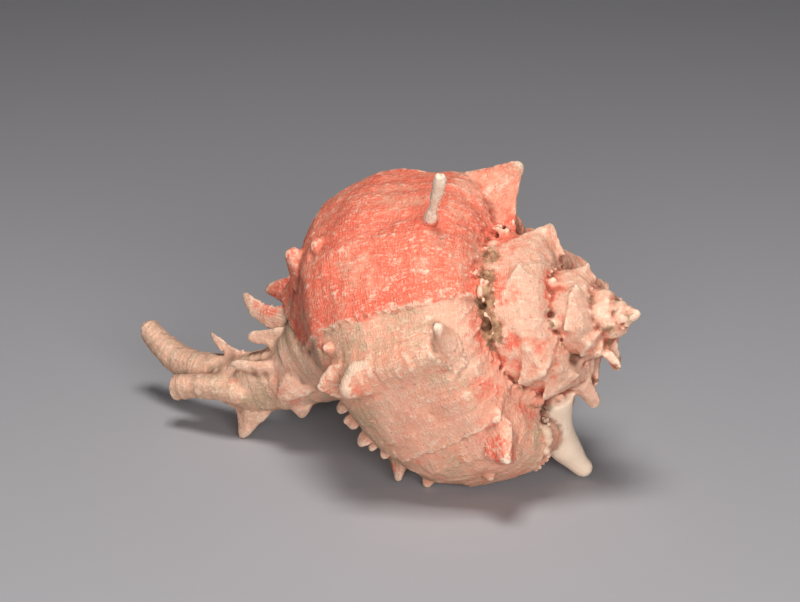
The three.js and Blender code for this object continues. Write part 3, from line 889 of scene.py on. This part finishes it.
# The newer sheet over the horn ends at this turn angle for each share
SHEET_SHARES = (0, 0.1, 0.2, 0.3, 0.4, 0.6, 1)
SHEET_ANGLES = (-66, -79, -84, -89, -94, -98, -101)
SHEET_HEIGHT = 1.2


def sheet_step(field):
    share = np.clip(field["share"], 0, 1)
    angle = field["line"] - LINE_LEAN * (share - SHOULDER_SHARE)
    over = angle - np.interp(share, SHEET_SHARES, SHEET_ANGLES)
    return smoothstep(-0.4, 0.5, over) * np.exp(-np.maximum(over, 0) / 11) * smoothstep(0.62, 0.4, share)


# The growth lines over which the spire gives way to the last whorl
SPIRE_ENDS = (-118, -104)


def off_canal(field):
    return 1 - np.clip(field["canal"] + field["blade"], 0, 1)


def last_whorl(field):
    return smoothstep(*SPIRE_ENDS, field["line"]) * off_canal(field)


def spire_part(field):
    return smoothstep(*SPIRE_ENDS[::-1], field["line"]) * off_canal(field)


def suture(field):
    """How near a point is to the line where a whorl meets the one before it."""
    return smoothstep(0.15, 0.085, field["share"])


# Round a whorl of size 1, in millimetres, and the steps between its lamellae and its cords
WHORL_ROUND = 518
LAMELLA_STEP = 6.8
CORD_STEP = 4.3


def growth_places(points, field):
    """Millimetres round the whorl and down the profile, with the size of the whorl there."""
    size = np.clip(radial_size(field["line"]), 0.12, 1.2)
    wander = 1.5 * noise(points / 8, 7)
    return WHORL_ROUND * size + wander, field["share"] * PROFILE_LENGTH, size


def body_relief(points, field):
    """The last whorl's scarps, ridge and wrinkles."""
    line, share = field["line"], field["share"]
    around, cord, _ = growth_places(points, field)
    ragged = 1.6 * grown_noise(cord / 2.4, 0 * cord, 23) + 2.2 * noise(points / 9, 25)
    total = scarp(line + ragged, CORAL_EDGE, 0.8, 11) + scarp(line + ragged, VARIX_SCARP, 1.2, 8)
    window = smoothstep(0.28, 0.38, share) * smoothstep(0.8, 0.62, share)
    total += RIDGE_HEIGHT * window * np.exp(-((line + ragged - RIDGE_LINE) / RIDGE_WIDTH) ** 2)
    near = smoothstep(0.4, 0.12, share)
    total += near * 0.55 * grown_noise((around + 0.45 * cord) / 2.3, cord / 13, 15)
    total += 0.35 * grown_noise(around / 7.5, cord / 34, 27)
    return total * last_whorl(field) * (1 - field["spine"])


def relief(points, field, seam):
    """How far the surface is raised at each point, in millimetres."""
    around, cord, size = growth_places(points, field)
    on_spire = spire_part(field)
    quiet = 1 - seam
    calm = 1 - 0.85 * field["smooth"]
    lumps = 0.85 * noise(points / 15, 3) + 0.5 * noise(points / 6.5, 5)
    rough = (0.12 + 0.13 * on_spire + 0.12 * field["blade"]) * noise(points / 2.7, 6)
    rough += (0.09 + 0.07 * on_spire) * noise(points / 1.5, 8)
    folds = grown_noise(around / 3.3, cord / 22, 11)
    fine = grown_noise(around / 1.5, cord / 8, 13)
    lamella = np.mod(around / LAMELLA_STEP, 1)
    cords = np.cos(2 * np.pi * (cord + 1.1 * noise(points / 6, 17)) / CORD_STEP)
    patchy = np.clip(0.3 + 0.9 * noise(points / 9, 21), 0, 1)
    strength = np.sqrt(size) * quiet * calm
    total = lumps * (0.3 + 0.7 * calm) * (1 - 0.4 * field["canal"]) * (1 - 0.5 * on_spire) + rough * calm
    total += strength * (0.30 * folds + 0.17 * fine + 0.18 * lamella ** 3)
    total += strength * patchy * 0.13 * cords * (1 - 0.5 * field["canal"])
    total += body_relief(points, field)
    total += (1 - field["smooth"]) * (1 - field["canal"]) * SHEET_HEIGHT * sheet_step(field)
    crust = np.abs(fractal(points / 2.4, 3, 29))
    at_suture = suture(field) * (1 - field["spine"]) * (1 - field["canal"])
    total += at_suture * (1.1 * crust - 1.1 * smoothstep(0.45, 0.65, noise(points / 2.1, 31) + 0.1))
    return total


def pits(points, field):
    """Bore holes and eroded pits, deepest on the spire and on worn tips."""
    where = noise(points / 3.4, 37) * 0.6 + noise(points / 1.7, 41) * 0.5
    deep = smoothstep(0.50, 0.72, where) * (0.25 + 0.5 * spire_part(field))
    worn = smoothstep(0.25, 0.5, noise(points / 1.3, 43)) * field["white"] * 0.5
    return (deep + worn) * (1 - field["smooth"]) * (1 - 0.6 * field["blade"])


def seam_mask(skin, field):
    """1 where neighbouring vertices belong to different surfaces, so that no pattern runs across."""
    jump = np.abs(field["line"][skin.a] - field["line"][skin.b]) > 6
    jump |= np.abs(field["share"][skin.a] - field["share"][skin.b]) > 0.05
    seam = np.zeros(len(skin.points))
    seam[skin.a[jump]] = 1
    seam[skin.b[jump]] = 1
    for _ in range(2):
        seam = np.maximum(seam, skin.around(seam))
    return np.clip(skin.spread(seam, 4) * 1.4, 0, 1)


def smooth_flags(skin, field, times):
    for name in FLAGS:
        field[name] = np.clip(skin.spread(field[name], times), 0, 1)


HAIR = 0.00003


def keep_in_box(points):
    """Keeps the skin inside the CAD model's box, a hair short of its sides, in metres."""
    low, high = (np.array(corner) for corner in CAD_BOX)
    return np.clip(points, low + HAIR, high - HAIR)


def make_sources():
    whorl_surface()
    core()
    tube(NECK, 48, 0)
    tube(NEW_TUBE, 32, 40, 0.06)
    tube(OLD_TUBE, 32, 30, 0.03)
    horn()
    shoulder_spines()
    spire_spines()
    knobs()
    blades()
    frills()


def save_attribute(mesh, name, values, kind="FLOAT"):
    layer = mesh.attributes.new(name, kind, "POINT")
    key = "vector" if kind == "FLOAT_VECTOR" else "value"
    layer.data.foreach_set(key, np.ascontiguousarray(values, np.float32).ravel())


def build_skin():
    make_sources()
    mouth, mouth_line = mouth_rings()
    obj = mesh_object("murex_shell", [grid["points"] for grid in grids])
    add_hulls(obj, crags() + crust_lumps() + scales())
    apply_modifier(obj, "REMESH", mode="VOXEL", voxel_size=VOXEL * MM, adaptivity=0)
    cut(obj, "cutter_mouth", [mouth])
    cut(obj, "cutter_slit", [tube_rings(SLIT, 20), tube_rings(OLD_BORE, 20)])
    cut(obj, "cutter_holes", bore_holes())
    apply_modifier(obj, "REMESH", mode="VOXEL", voxel_size=VOXEL * MM, adaptivity=0)
    add_grid(mouth, line=mouth_line, share=0.5, mouth=1)
    skin = Skin(obj)
    fill_creases(skin, 7)
    source = source_arrays()
    field = read_fields(skin.points, source)
    seam = seam_mask(skin, field)
    smooth_flags(skin, field, 6)
    raised = relief(skin.points, field, seam) - pits(skin.points, field)
    raised *= 1 - np.clip(field["mouth"] * 1.3, 0, 1)
    skin.points = skin.points + skin.normals() * raised[:, None]
    skin.store()
    triangles = sum(len(p.vertices) - 2 for p in obj.data.polygons)
    if triangles > MAX_TRIANGLES:
        apply_modifier(obj, "DECIMATE", decimate_type="COLLAPSE", ratio=MAX_TRIANGLES / triangles)
    return obj, source


# Places where one colour gathers, by mask: turn angle, radius and depth of the place, how far it
# reaches in millimetres, and how much. Those on the canal give depth, front and top.
SPOTS = {
    "vivid": (
        ((45.3, 16, 22.7), 5, 0.5), ((77.7, 26.3, 39), 8, 0.5), ((32.4, 24.7, 35.8), 5, 0.35),
        ((-17.5, 21.1, 25.3), 5, 0.2), ((-20.8, 22.4, 32.2), 6, 0.4), ((11.8, 6.1, 8.2), 4, 0.4),
        ((-86.8, 14.9, 10.4), 5, 0.7), ((-53, 43, 39), 7.5, 1.1), ((-13, 45, 72), 5, 0.4),
        ((-7, 31, 38), 8, 0.25), ((-30, 31, 38), 9, 0.25), ((97, 48.5, 37), 9, -0.35),
        ((-13, 43.5, 83), 7, 0.35), ((1, 42.5, 83), 6, 0.5),
    ),
    "worn": (((-55.5, 46, 35.2), 2.8, 1.3), ((-79, 26, 27), 3, 0.5)),
    "pale": (
        ((-15, 45, 75), 7, -0.9), ((-14.5, 42, 86), 7, -0.9), ((23.6, 21.1, 26.4), 8, 1.0),
        ((7.8, 12.4, 14.7), 6, 0.9), ((-101.2, 21.2, 21.8), 9, 1.0), ((-12, 33, 39), 9, 0.6),
        ((97, 48.5, 37), 9, 0.3),
    ),
    "tan": (
        ((97, 48.5, 37), 9, 0.8), ((89.3, 17, 25.6), 4, 0.6), ((15.4, 13.8, 22.6), 3, 0.8),
        ((47, 6.8, 8.4), 2.5, 0.5), ((-52, 12.4, 20.1), 5, 0.5), ((-54.7, 20, 24.4), 6, 0.4),
        ((17.4, 42.1, 59.5), 2.4, 1.2), ((15.1, 42.7, 64.5), 1.8, 1.0), ((-80, 30, 32), 8, 0.6),
    ),
}
CANAL_SPOTS = {
    "vivid": (((122, -3, 18), 10, 1.4), ((118, 8, -11), 7, 0.6), ((136, 8, -7), 5, 0.4)),
    "pale": (((126, 6, 6), 7, 0.9), ((128, 10, -4), 6, 0.6)),
    "tan": (((112, 8, 8), 7, 0.9), ((128, 6, -14), 8, 0.4)),
}


def nearness(points, place, reach):
    """How near each point is to this place, as 1 at it down to 0."""
    return np.exp(-((points - place) ** 2).sum(1) / reach ** 2)


def crust_grit(points):
    """How sandy each point is: the crust's own places, where it is thick."""
    grit = np.zeros(len(points))
    for angle in np.arange(CRUST_PATH[0, 0], CRUST_PATH[-1, 0], 4):
        near = nearness(points, shell_point(angle, *crust_place(angle)), CRUST_REACH)
        grit = np.maximum(grit, np.minimum(1, 1.6 * near) * (0.2 + crust_density(angle, True)))
    return grit


# Painted shade inside the bored holes: how near each point is to a hole's inner length
def painted_hole_shade(points):
    dark = np.zeros(len(points))
    for first, last, width in HOLES:
        for place in hole_line(first, last, (0.25, 0.45, 0.65, 0.85)):
            dark = np.maximum(dark, nearness(points, place, 1.5 * width))
    return dark


def add_spots(masks, points):
    blotchy = 0.75 + 0.5 * noise(points / 4, 61)
    for spots, on_shell in ((SPOTS, True), (CANAL_SPOTS, False)):
        for name, places in spots.items():
            for at, reach, amount in places:
                place = shell_point(*at) if on_shell else canal_point(at)
                masks[name] = masks[name] + amount * nearness(points, place, reach) * blotchy


def colour_masks(points, field, seam):
    """Where the coral, the tan, the pale and the sandy colours lie, before the fine mottling."""
    line, share = field["line"], field["share"]
    on_last, on_spire = last_whorl(field), spire_part(field)
    canal = 1 - off_canal(field)
    patch, blot = noise(points / 17, 51), noise(points / 7, 53)
    ragged = 3.4 * noise(points / 5.5, 23) + 2.6 * noise(points / 13, 24) + 1.4 * noise(points / 2.6, 26)
    newer = smoothstep(CORAL_EDGE - 2.4, CORAL_EDGE + 2.4, line + ragged)
    on_newer, on_older = on_last * newer, on_last * (1 - newer)
    near_suture = smoothstep(0.34, 0.1, share)
    vivid = on_newer * (0.76 + 0.35 * patch + 0.30 * blot - 0.3 * smoothstep(0.42, 0.2, share))
    vivid += on_older * (0.08 + 0.32 * smoothstep(0.05, 0.5, blot) + 0.22 * near_suture)
    vivid += on_spire * (0.24 + 0.32 * patch + 0.34 * blot)
    vivid += canal * (0.08 + 0.30 * smoothstep(0.2, 0.6, blot))
    tan = on_older * (0.32 + 0.40 * patch + 0.30 * blot + 0.34 * smoothstep(0.5, 0.8, share))
    tan -= on_older * 0.55 * near_suture
    tan += on_newer * 0.65 * smoothstep(0.3, 0.6, noise(points / 4.5, 55)) * smoothstep(0.35, 0.6, share)
    tan += on_newer * 0.5 * smoothstep(0.78, 0.9, share)
    tan += 0.25 * on_spire * smoothstep(0.2, 0.6, noise(points / 6, 67)) + 0.5 * field["canal"]
    pale = on_spire * (0.5 + 0.4 * noise(points / 9, 63)) + 0.75 * field["canal"] + 0.5 * field["blade"]
    pale += on_last * (0.15 + 0.3 * (1 - newer) + 0.35 * noise(points / 12, 65))
    masks = {"vivid": vivid * (1 - field["smooth"]), "tan": tan, "pale": pale, "worn": 0 * pale}
    add_spots(masks, points)
    grit = suture(field) * (1 - field["spine"]) * (1 - field["canal"]) * (0.30 + 0.6 * noise(points / 4, 57))
    grit = np.maximum(grit, crust_grit(points) * (1.0 + 0.6 * noise(points / 2.6, 57)))
    masks["grit"] = np.maximum(grit, seam * on_spire * (0.30 + 0.6 * noise(points / 5, 59)))
    return masks


def wear(points, field):
    """How worn the surface is: at the tips of spines, down the white one, and at the apex."""
    blot = noise(points / 5, 53)
    along, white = field["along"], field["white"]
    tips = field["spine"] * smoothstep(0.84, 1.0, along + 0.12 * blot) * 0.6
    whitened = smoothstep(1.25 - 1.25 * white, 1.5 - 1.25 * white, along + 0.1 * blot)
    worn = np.maximum(tips, smoothstep(0, 0.3, white) * whitened) * (1 - field["smooth"])
    return np.maximum(worn, 0.45 * smoothstep(-1150, -1350, field["line"]))


# The masks stored on each vertex. The hollow mask carries painted shade and the edge mask a painted
# highlight.
MASKS = ("vivid", "tan", "pale", "worn", "grit", "edge", "hollow", "smooth", "mouth")


def paint(obj, source):
    """Stores on each vertex where each colour of the shell lies, and where shade and a highlight are
    painted.
    """
    skin = Skin(obj)
    skin.points = to_shell(keep_in_box(to_world(skin.points)))
    field = read_fields(skin.points, source)
    seam = seam_mask(skin, field)
    smooth_flags(skin, field, 3)
    points = skin.points
    bulge = -((skin.around(points) - points) * skin.normals()).sum(1)
    edge, broad = skin.spread(bulge, 1), skin.spread(bulge, 6)
    on_spire = spire_part(field)
    crusted = np.clip(np.maximum(crust_grit(points), suture(field) * last_whorl(field)), 0, 1)
    clean = 1 - np.clip(field["mouth"], 0, 1)
    masks = colour_masks(points, field, seam)
    masks["worn"] = np.maximum(masks["worn"], wear(points, field))
    masks["vivid"] = masks["vivid"] + on_spire * np.clip(-broad * 9, -0.35, 0.35)
    masks["pale"] = masks["pale"] + on_spire * np.clip(broad * 9, -0.5, 0.6)
    # Painted highlight: ridges and crests lightened towards cream in the shader, except on the crust
    masks["edge"] = 0.5 + edge * 4 * (1 - crusted)
    # Painted shade: hollows, the joins between forms and the bored holes, darkened in the shader
    masks["hollow"] = np.maximum(-broad * 9 + seam * 0.3, 1.3 * painted_hole_shade(points))
    for name in ("vivid", "tan", "worn", "grit"):
        masks[name] = masks[name] * clean
    masks["smooth"] = np.maximum(field["smooth"], field["mouth"])
    masks["mouth"] = field["mouth"]
    for name in MASKS:
        save_attribute(obj.data, name, np.clip(masks[name], 0, 1))
    around, cord, _ = growth_places(points, field)
    save_attribute(obj.data, "grown", np.stack([around, cord, (1 - seam) * clean], -1), "FLOAT_VECTOR")
    skin.store()


class Nodes:
    """Short calls for a material's nodes. A value may be a number, a colour or another node's output."""

    def __init__(self, tree):
        self.tree = tree

    def new(self, kind, values=(), out=0, **settings):
        node = self.tree.nodes.new("ShaderNode" + kind)
        for key, value in settings.items():
            setattr(node, key, value)
        for key, value in dict(values).items():
            self.put(node.inputs[key], value)
        return None if out is None else node.outputs[out]

    def put(self, socket, value):
        if isinstance(value, bpy.types.NodeSocket):
            self.tree.links.new(value, socket)
        else:
            socket.default_value = value

    def attribute(self, name, out="Fac"):
        return self.new("Attribute", out=out, attribute_name=name, attribute_type="GEOMETRY")

    def math(self, operation, a, b=0.0):
        return self.new("Math", {0: a, 1: b}, operation=operation)

    def times(self, a, b):
        return self.math("MULTIPLY", a, b)

    def plus(self, a, b):
        return self.math("ADD", a, b)

    def ramp(self, value, low, high, most=1.0, least=0.0):
        values = {0: value, 1: low, 2: high, 3: least, 4: most}
        return self.new("MapRange", values, interpolation_type="SMOOTHSTEP")

    def noise(self, where, scale, detail, rough, distortion=0.0):
        values = {"Vector": where, "Scale": scale, "Detail": detail, "Roughness": rough}
        return self.new("TexNoise", {**values, "Distortion": distortion})

    def mix(self, share, first, second, blend="MIX"):
        node = self.tree.nodes.new("ShaderNodeMix")
        node.data_type = "RGBA"
        node.blend_type = blend
        self.put(node.inputs[0], share)
        self.put(node.inputs[6], first)
        self.put(node.inputs[7], second)
        return node.outputs[2]

    def part(self, vector, k):
        return self.new("SeparateXYZ", {0: vector}, out=k)

    def stretched(self, vector, by):
        return self.new("VectorMath", {0: vector, 1: by}, operation="MULTIPLY")


def linear(red, green, blue):
    """A colour given as the eye reads it, from 0 to 255, for the shader."""
    def one(c):
        c = c / 255
        return c / 12.92 if c <= 0.04045 else ((c + 0.055) / 1.055) ** 2.4
    return (one(red), one(green), one(blue), 1)


CORAL = linear(240, 116, 90)
DEEP_CORAL = linear(228, 88, 66)
SALMON = linear(234, 158, 130)
PEACH = linear(237, 181, 154)
TAN = linear(196, 160, 128)
OLIVE = linear(166, 128, 94)
CREAM = linear(252, 222, 194)
CHALK = linear(248, 228, 204)
SAND = linear(188, 148, 112)
CRUST_BROWN = linear(146, 106, 78)
# Brown for the dirt specks and for the painted shade in hollows, joins and holes
DIRT_AND_SHADE = linear(104, 72, 54)
HORN_PINK = linear(255, 230, 204)
ENAMEL = linear(244, 196, 170)


# The surface's noises: scale, detail and roughness of those in space, and the stretch, detail,
# roughness and distortion of those that follow the growth
SPACE_NOISES = {"coarse": (130, 4, 0.6), "middle": (400, 4, 0.65), "grain": (1250, 3, 0.65)}
GROWN_NOISES = {
    "streaks": ((0.20, 0.10, 0), 6, 0.72, 1.2),
    "thread": ((0.4, 1.9, 0), 3, 0.6, 0.5),
    "rib": ((2.0, 0.2, 0), 3, 0.6, 0.5),
}


def surface_noises(n, place, grown):
    noises = {name: n.noise(place, *values) for name, values in SPACE_NOISES.items()}
    for name, (stretch, *values) in GROWN_NOISES.items():
        noises[name] = n.noise(n.stretched(grown, stretch), 1.0, *values)
    return noises


def shell_colour(n, mask, place, noises):
    """The colour of the outside: patches first, then mottling, scratches, a painted highlight on ridges,
    wear, sand, painted shade in hollows, joins and holes, and dirt.
    """
    def moved(value, **amounts):
        for name, amount in amounts.items():
            value = n.plus(value, n.times(n.math("SUBTRACT", noises[name], 0.5), amount))
        return value

    pale = moved(mask["pale"], coarse=0.6, middle=0.9)
    tan = moved(mask["tan"], coarse=0.6, middle=1.1, thread=0.8)
    vivid = moved(mask["vivid"], coarse=0.7, middle=1.1, streaks=0.5)
    scratch = moved(noises["streaks"], middle=0.55, grain=0.3, rib=0.2)
    cloth = n.plus(moved(0.5, thread=1.0, rib=1.0, grain=0.5), n.times(n.math("SUBTRACT", pale, 0.5), 0.12))
    grain, middle = noises["grain"], noises["middle"]
    layers = (
        (n.ramp(pale, 0.15, 0.8), PEACH),
        (n.ramp(tan, 0.25, 0.9), TAN),
        (n.ramp(tan, 0.85, 1.25, 0.8), OLIVE),
        (n.ramp(vivid, 0.28, 0.78), CORAL),
        (n.ramp(vivid, 0.85, 1.15, 0.55), DEEP_CORAL),
        (n.ramp(scratch, 0.58, 0.72, 0.5), CREAM),
        (n.ramp(cloth, 0.44, 0.68, 0.26), CREAM),
        (n.ramp(grain, 0.54, 0.72, 0.3), CREAM),
        # Painted highlight: ridges and crests lightened towards cream
        (n.ramp(moved(mask["edge"], grain=0.5), 0.6, 0.9, 0.7), CREAM),
        (n.times(mask["smooth"], 0.92), n.mix(n.ramp(grain, 0.54, 0.72, 0.4), HORN_PINK, PEACH)),
        (n.ramp(moved(mask["worn"], middle=1.0, grain=0.5), 0.42, 0.75, 0.85), CHALK),
        (n.ramp(moved(mask["grit"], middle=0.9, coarse=0.4), 0.34, 0.6, 0.92),
         n.mix(n.ramp(middle, 0.4, 0.6), SAND, CRUST_BROWN)),
    )
    colour = SALMON
    for share, top in layers:
        colour = n.mix(share, colour, top)
    # Painted shade: hollows, joins between forms and bored holes, multiplied with a dark brown
    colour = n.mix(n.ramp(moved(mask["hollow"], middle=0.3), 0.12, 0.85, 0.78), colour, DIRT_AND_SHADE, "MULTIPLY")
    # Dirt specks scattered by noise, off the smooth horn
    dirt = n.ramp(n.noise(place, 620, 4, 0.72), 0.60, 0.70, 0.5)
    colour = n.mix(n.times(dirt, n.math("SUBTRACT", 1.0, mask["smooth"])), colour, DIRT_AND_SHADE)
    return n.mix(mask["mouth"], colour, ENAMEL)


FINE_CORD_STEP = 1.15
BUMP_HEIGHT = 0.0004


def shell_height(n, mask, grown, noises):
    """The fine relief: grain everywhere, and faint threads along and across the growth."""
    coarse = noises["coarse"]
    cord = n.plus(n.part(grown, 1), n.times(coarse, 7.0))
    cords = n.times(n.math("SINE", n.times(cord, 2 * math.pi / FINE_CORD_STEP)), n.ramp(coarse, 0.4, 0.62))
    threads = n.plus(n.times(noises["rib"], 0.7), n.times(cords, 0.10))
    woven = n.times(n.plus(n.times(noises["thread"], 0.8), threads), n.part(grown, 2))
    height = n.plus(n.plus(n.times(noises["grain"], 0.6), n.times(noises["middle"], 0.7)), woven)
    return n.times(height, n.math("SUBTRACT", 1.0, n.times(mask["smooth"], 0.6)))


def shell_material():
    material = bpy.data.materials.new("murex_shell_surface")
    material.use_nodes = True
    tree = material.node_tree
    tree.nodes.clear()
    n = Nodes(tree)
    place = n.new("TexCoord", out="Object")
    grown = n.attribute("grown", "Vector")
    mask = {name: n.attribute(name) for name in MASKS}
    noises = surface_noises(n, place, grown)
    height = shell_height(n, mask, grown, noises)
    bump = n.new("Bump", {"Height": height, "Strength": 1.0, "Distance": BUMP_HEIGHT})
    shader = n.new("BsdfPrincipled", {
        "Base Color": shell_colour(n, mask, place, noises), "Normal": bump,
        "Roughness": n.ramp(mask["smooth"], 0.1, 0.9, 0.5, 0.86), "Specular IOR Level": 0.28})
    n.new("OutputMaterial", {"Surface": shader}, out=None)
    return material


# The camera: the photo's angle, 900 mm from the axis point, with the shell right of the middle
CAMERA_RISE = math.radians(20)
CAMERA_DISTANCE = 0.9
CAMERA_LENS = 135
SENSOR_WIDTH = 36
SHELL_RIGHT = 0.009
SHELL_BELOW = 0.0105


def add_camera():
    right = Vector((1, 0, 0))
    up = Vector((0, math.sin(CAMERA_RISE), math.cos(CAMERA_RISE)))
    back = right.cross(up)
    camera = add_object("camera", bpy.data.cameras.new("camera"))
    camera.data.lens = CAMERA_LENS
    camera.data.sensor_width = SENSOR_WIDTH
    camera.data.clip_start = 0.01
    at = Vector(POSED_AT * MM) - right * SHELL_RIGHT + up * SHELL_BELOW + back * CAMERA_DISTANCE
    camera.matrix_world = Matrix.Translation(at) @ Matrix((right, up, back)).transposed().to_4x4()
    bpy.context.scene.camera = camera


FLOOR_REACH = 4.0
FLOOR_LOOK = {"Base Color": (0.42, 0.41, 0.43, 1), "Roughness": 0.9, "Specular IOR Level": 0.15}


def add_floor():
    mesh = bpy.data.meshes.new("floor")
    corners = [(x * FLOOR_REACH, y * FLOOR_REACH, 0) for x, y in ((-1, -1), (1, -1), (1, 1), (-1, 1))]
    mesh.from_pydata(corners, [], [(0, 1, 2, 3)])
    floor = add_object("floor", mesh)
    material = bpy.data.materials.new("floor_paper")
    material.use_nodes = True
    shader = material.node_tree.nodes["Principled BSDF"]
    for name, value in FLOOR_LOOK.items():
        shader.inputs[name].default_value = value
    mesh.materials.append(material)


# The lights: name, place, size, power and colour. They aim at a point in the shell's body.
LIGHTS = (
    ("key", (-0.02, -0.23, 0.80), (0.26, 0.26), 4.5, (1, 0.985, 0.965)),
    ("front", (0.14, -1.05, 0.38), (0.8, 0.3), 10.2, (1, 1, 1)),
)
LIGHTS_AIM = Vector((0, 0, 0.04))
WORLD_COLOUR = (0.92, 0.95, 1, 1)
WORLD_STRENGTH = 0.015


def add_lights():
    for name, at, size, power, colour in LIGHTS:
        data = bpy.data.lights.new(name, "AREA")
        data.shape = "RECTANGLE"
        data.size, data.size_y = size
        data.energy = power
        data.color = colour
        light = add_object(name, data)
        light.location = at
        light.rotation_euler = (LIGHTS_AIM - Vector(at)).to_track_quat("-Z", "Y").to_euler()


def add_world():
    world = bpy.data.worlds.new("studio")
    world.use_nodes = True
    background = world.node_tree.nodes["Background"]
    background.inputs[0].default_value = WORLD_COLOUR
    background.inputs[1].default_value = WORLD_STRENGTH
    bpy.context.scene.world = world
    bpy.context.scene.view_settings.view_transform = "Standard"


shell, shell_source = build_skin()
paint(shell, shell_source)
shell.data.shade_smooth()
shell.data.materials.clear()
shell.data.materials.append(shell_material())
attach(shell, "root")
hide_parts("shell")
add_camera()
add_floor()
add_lights()
add_world()
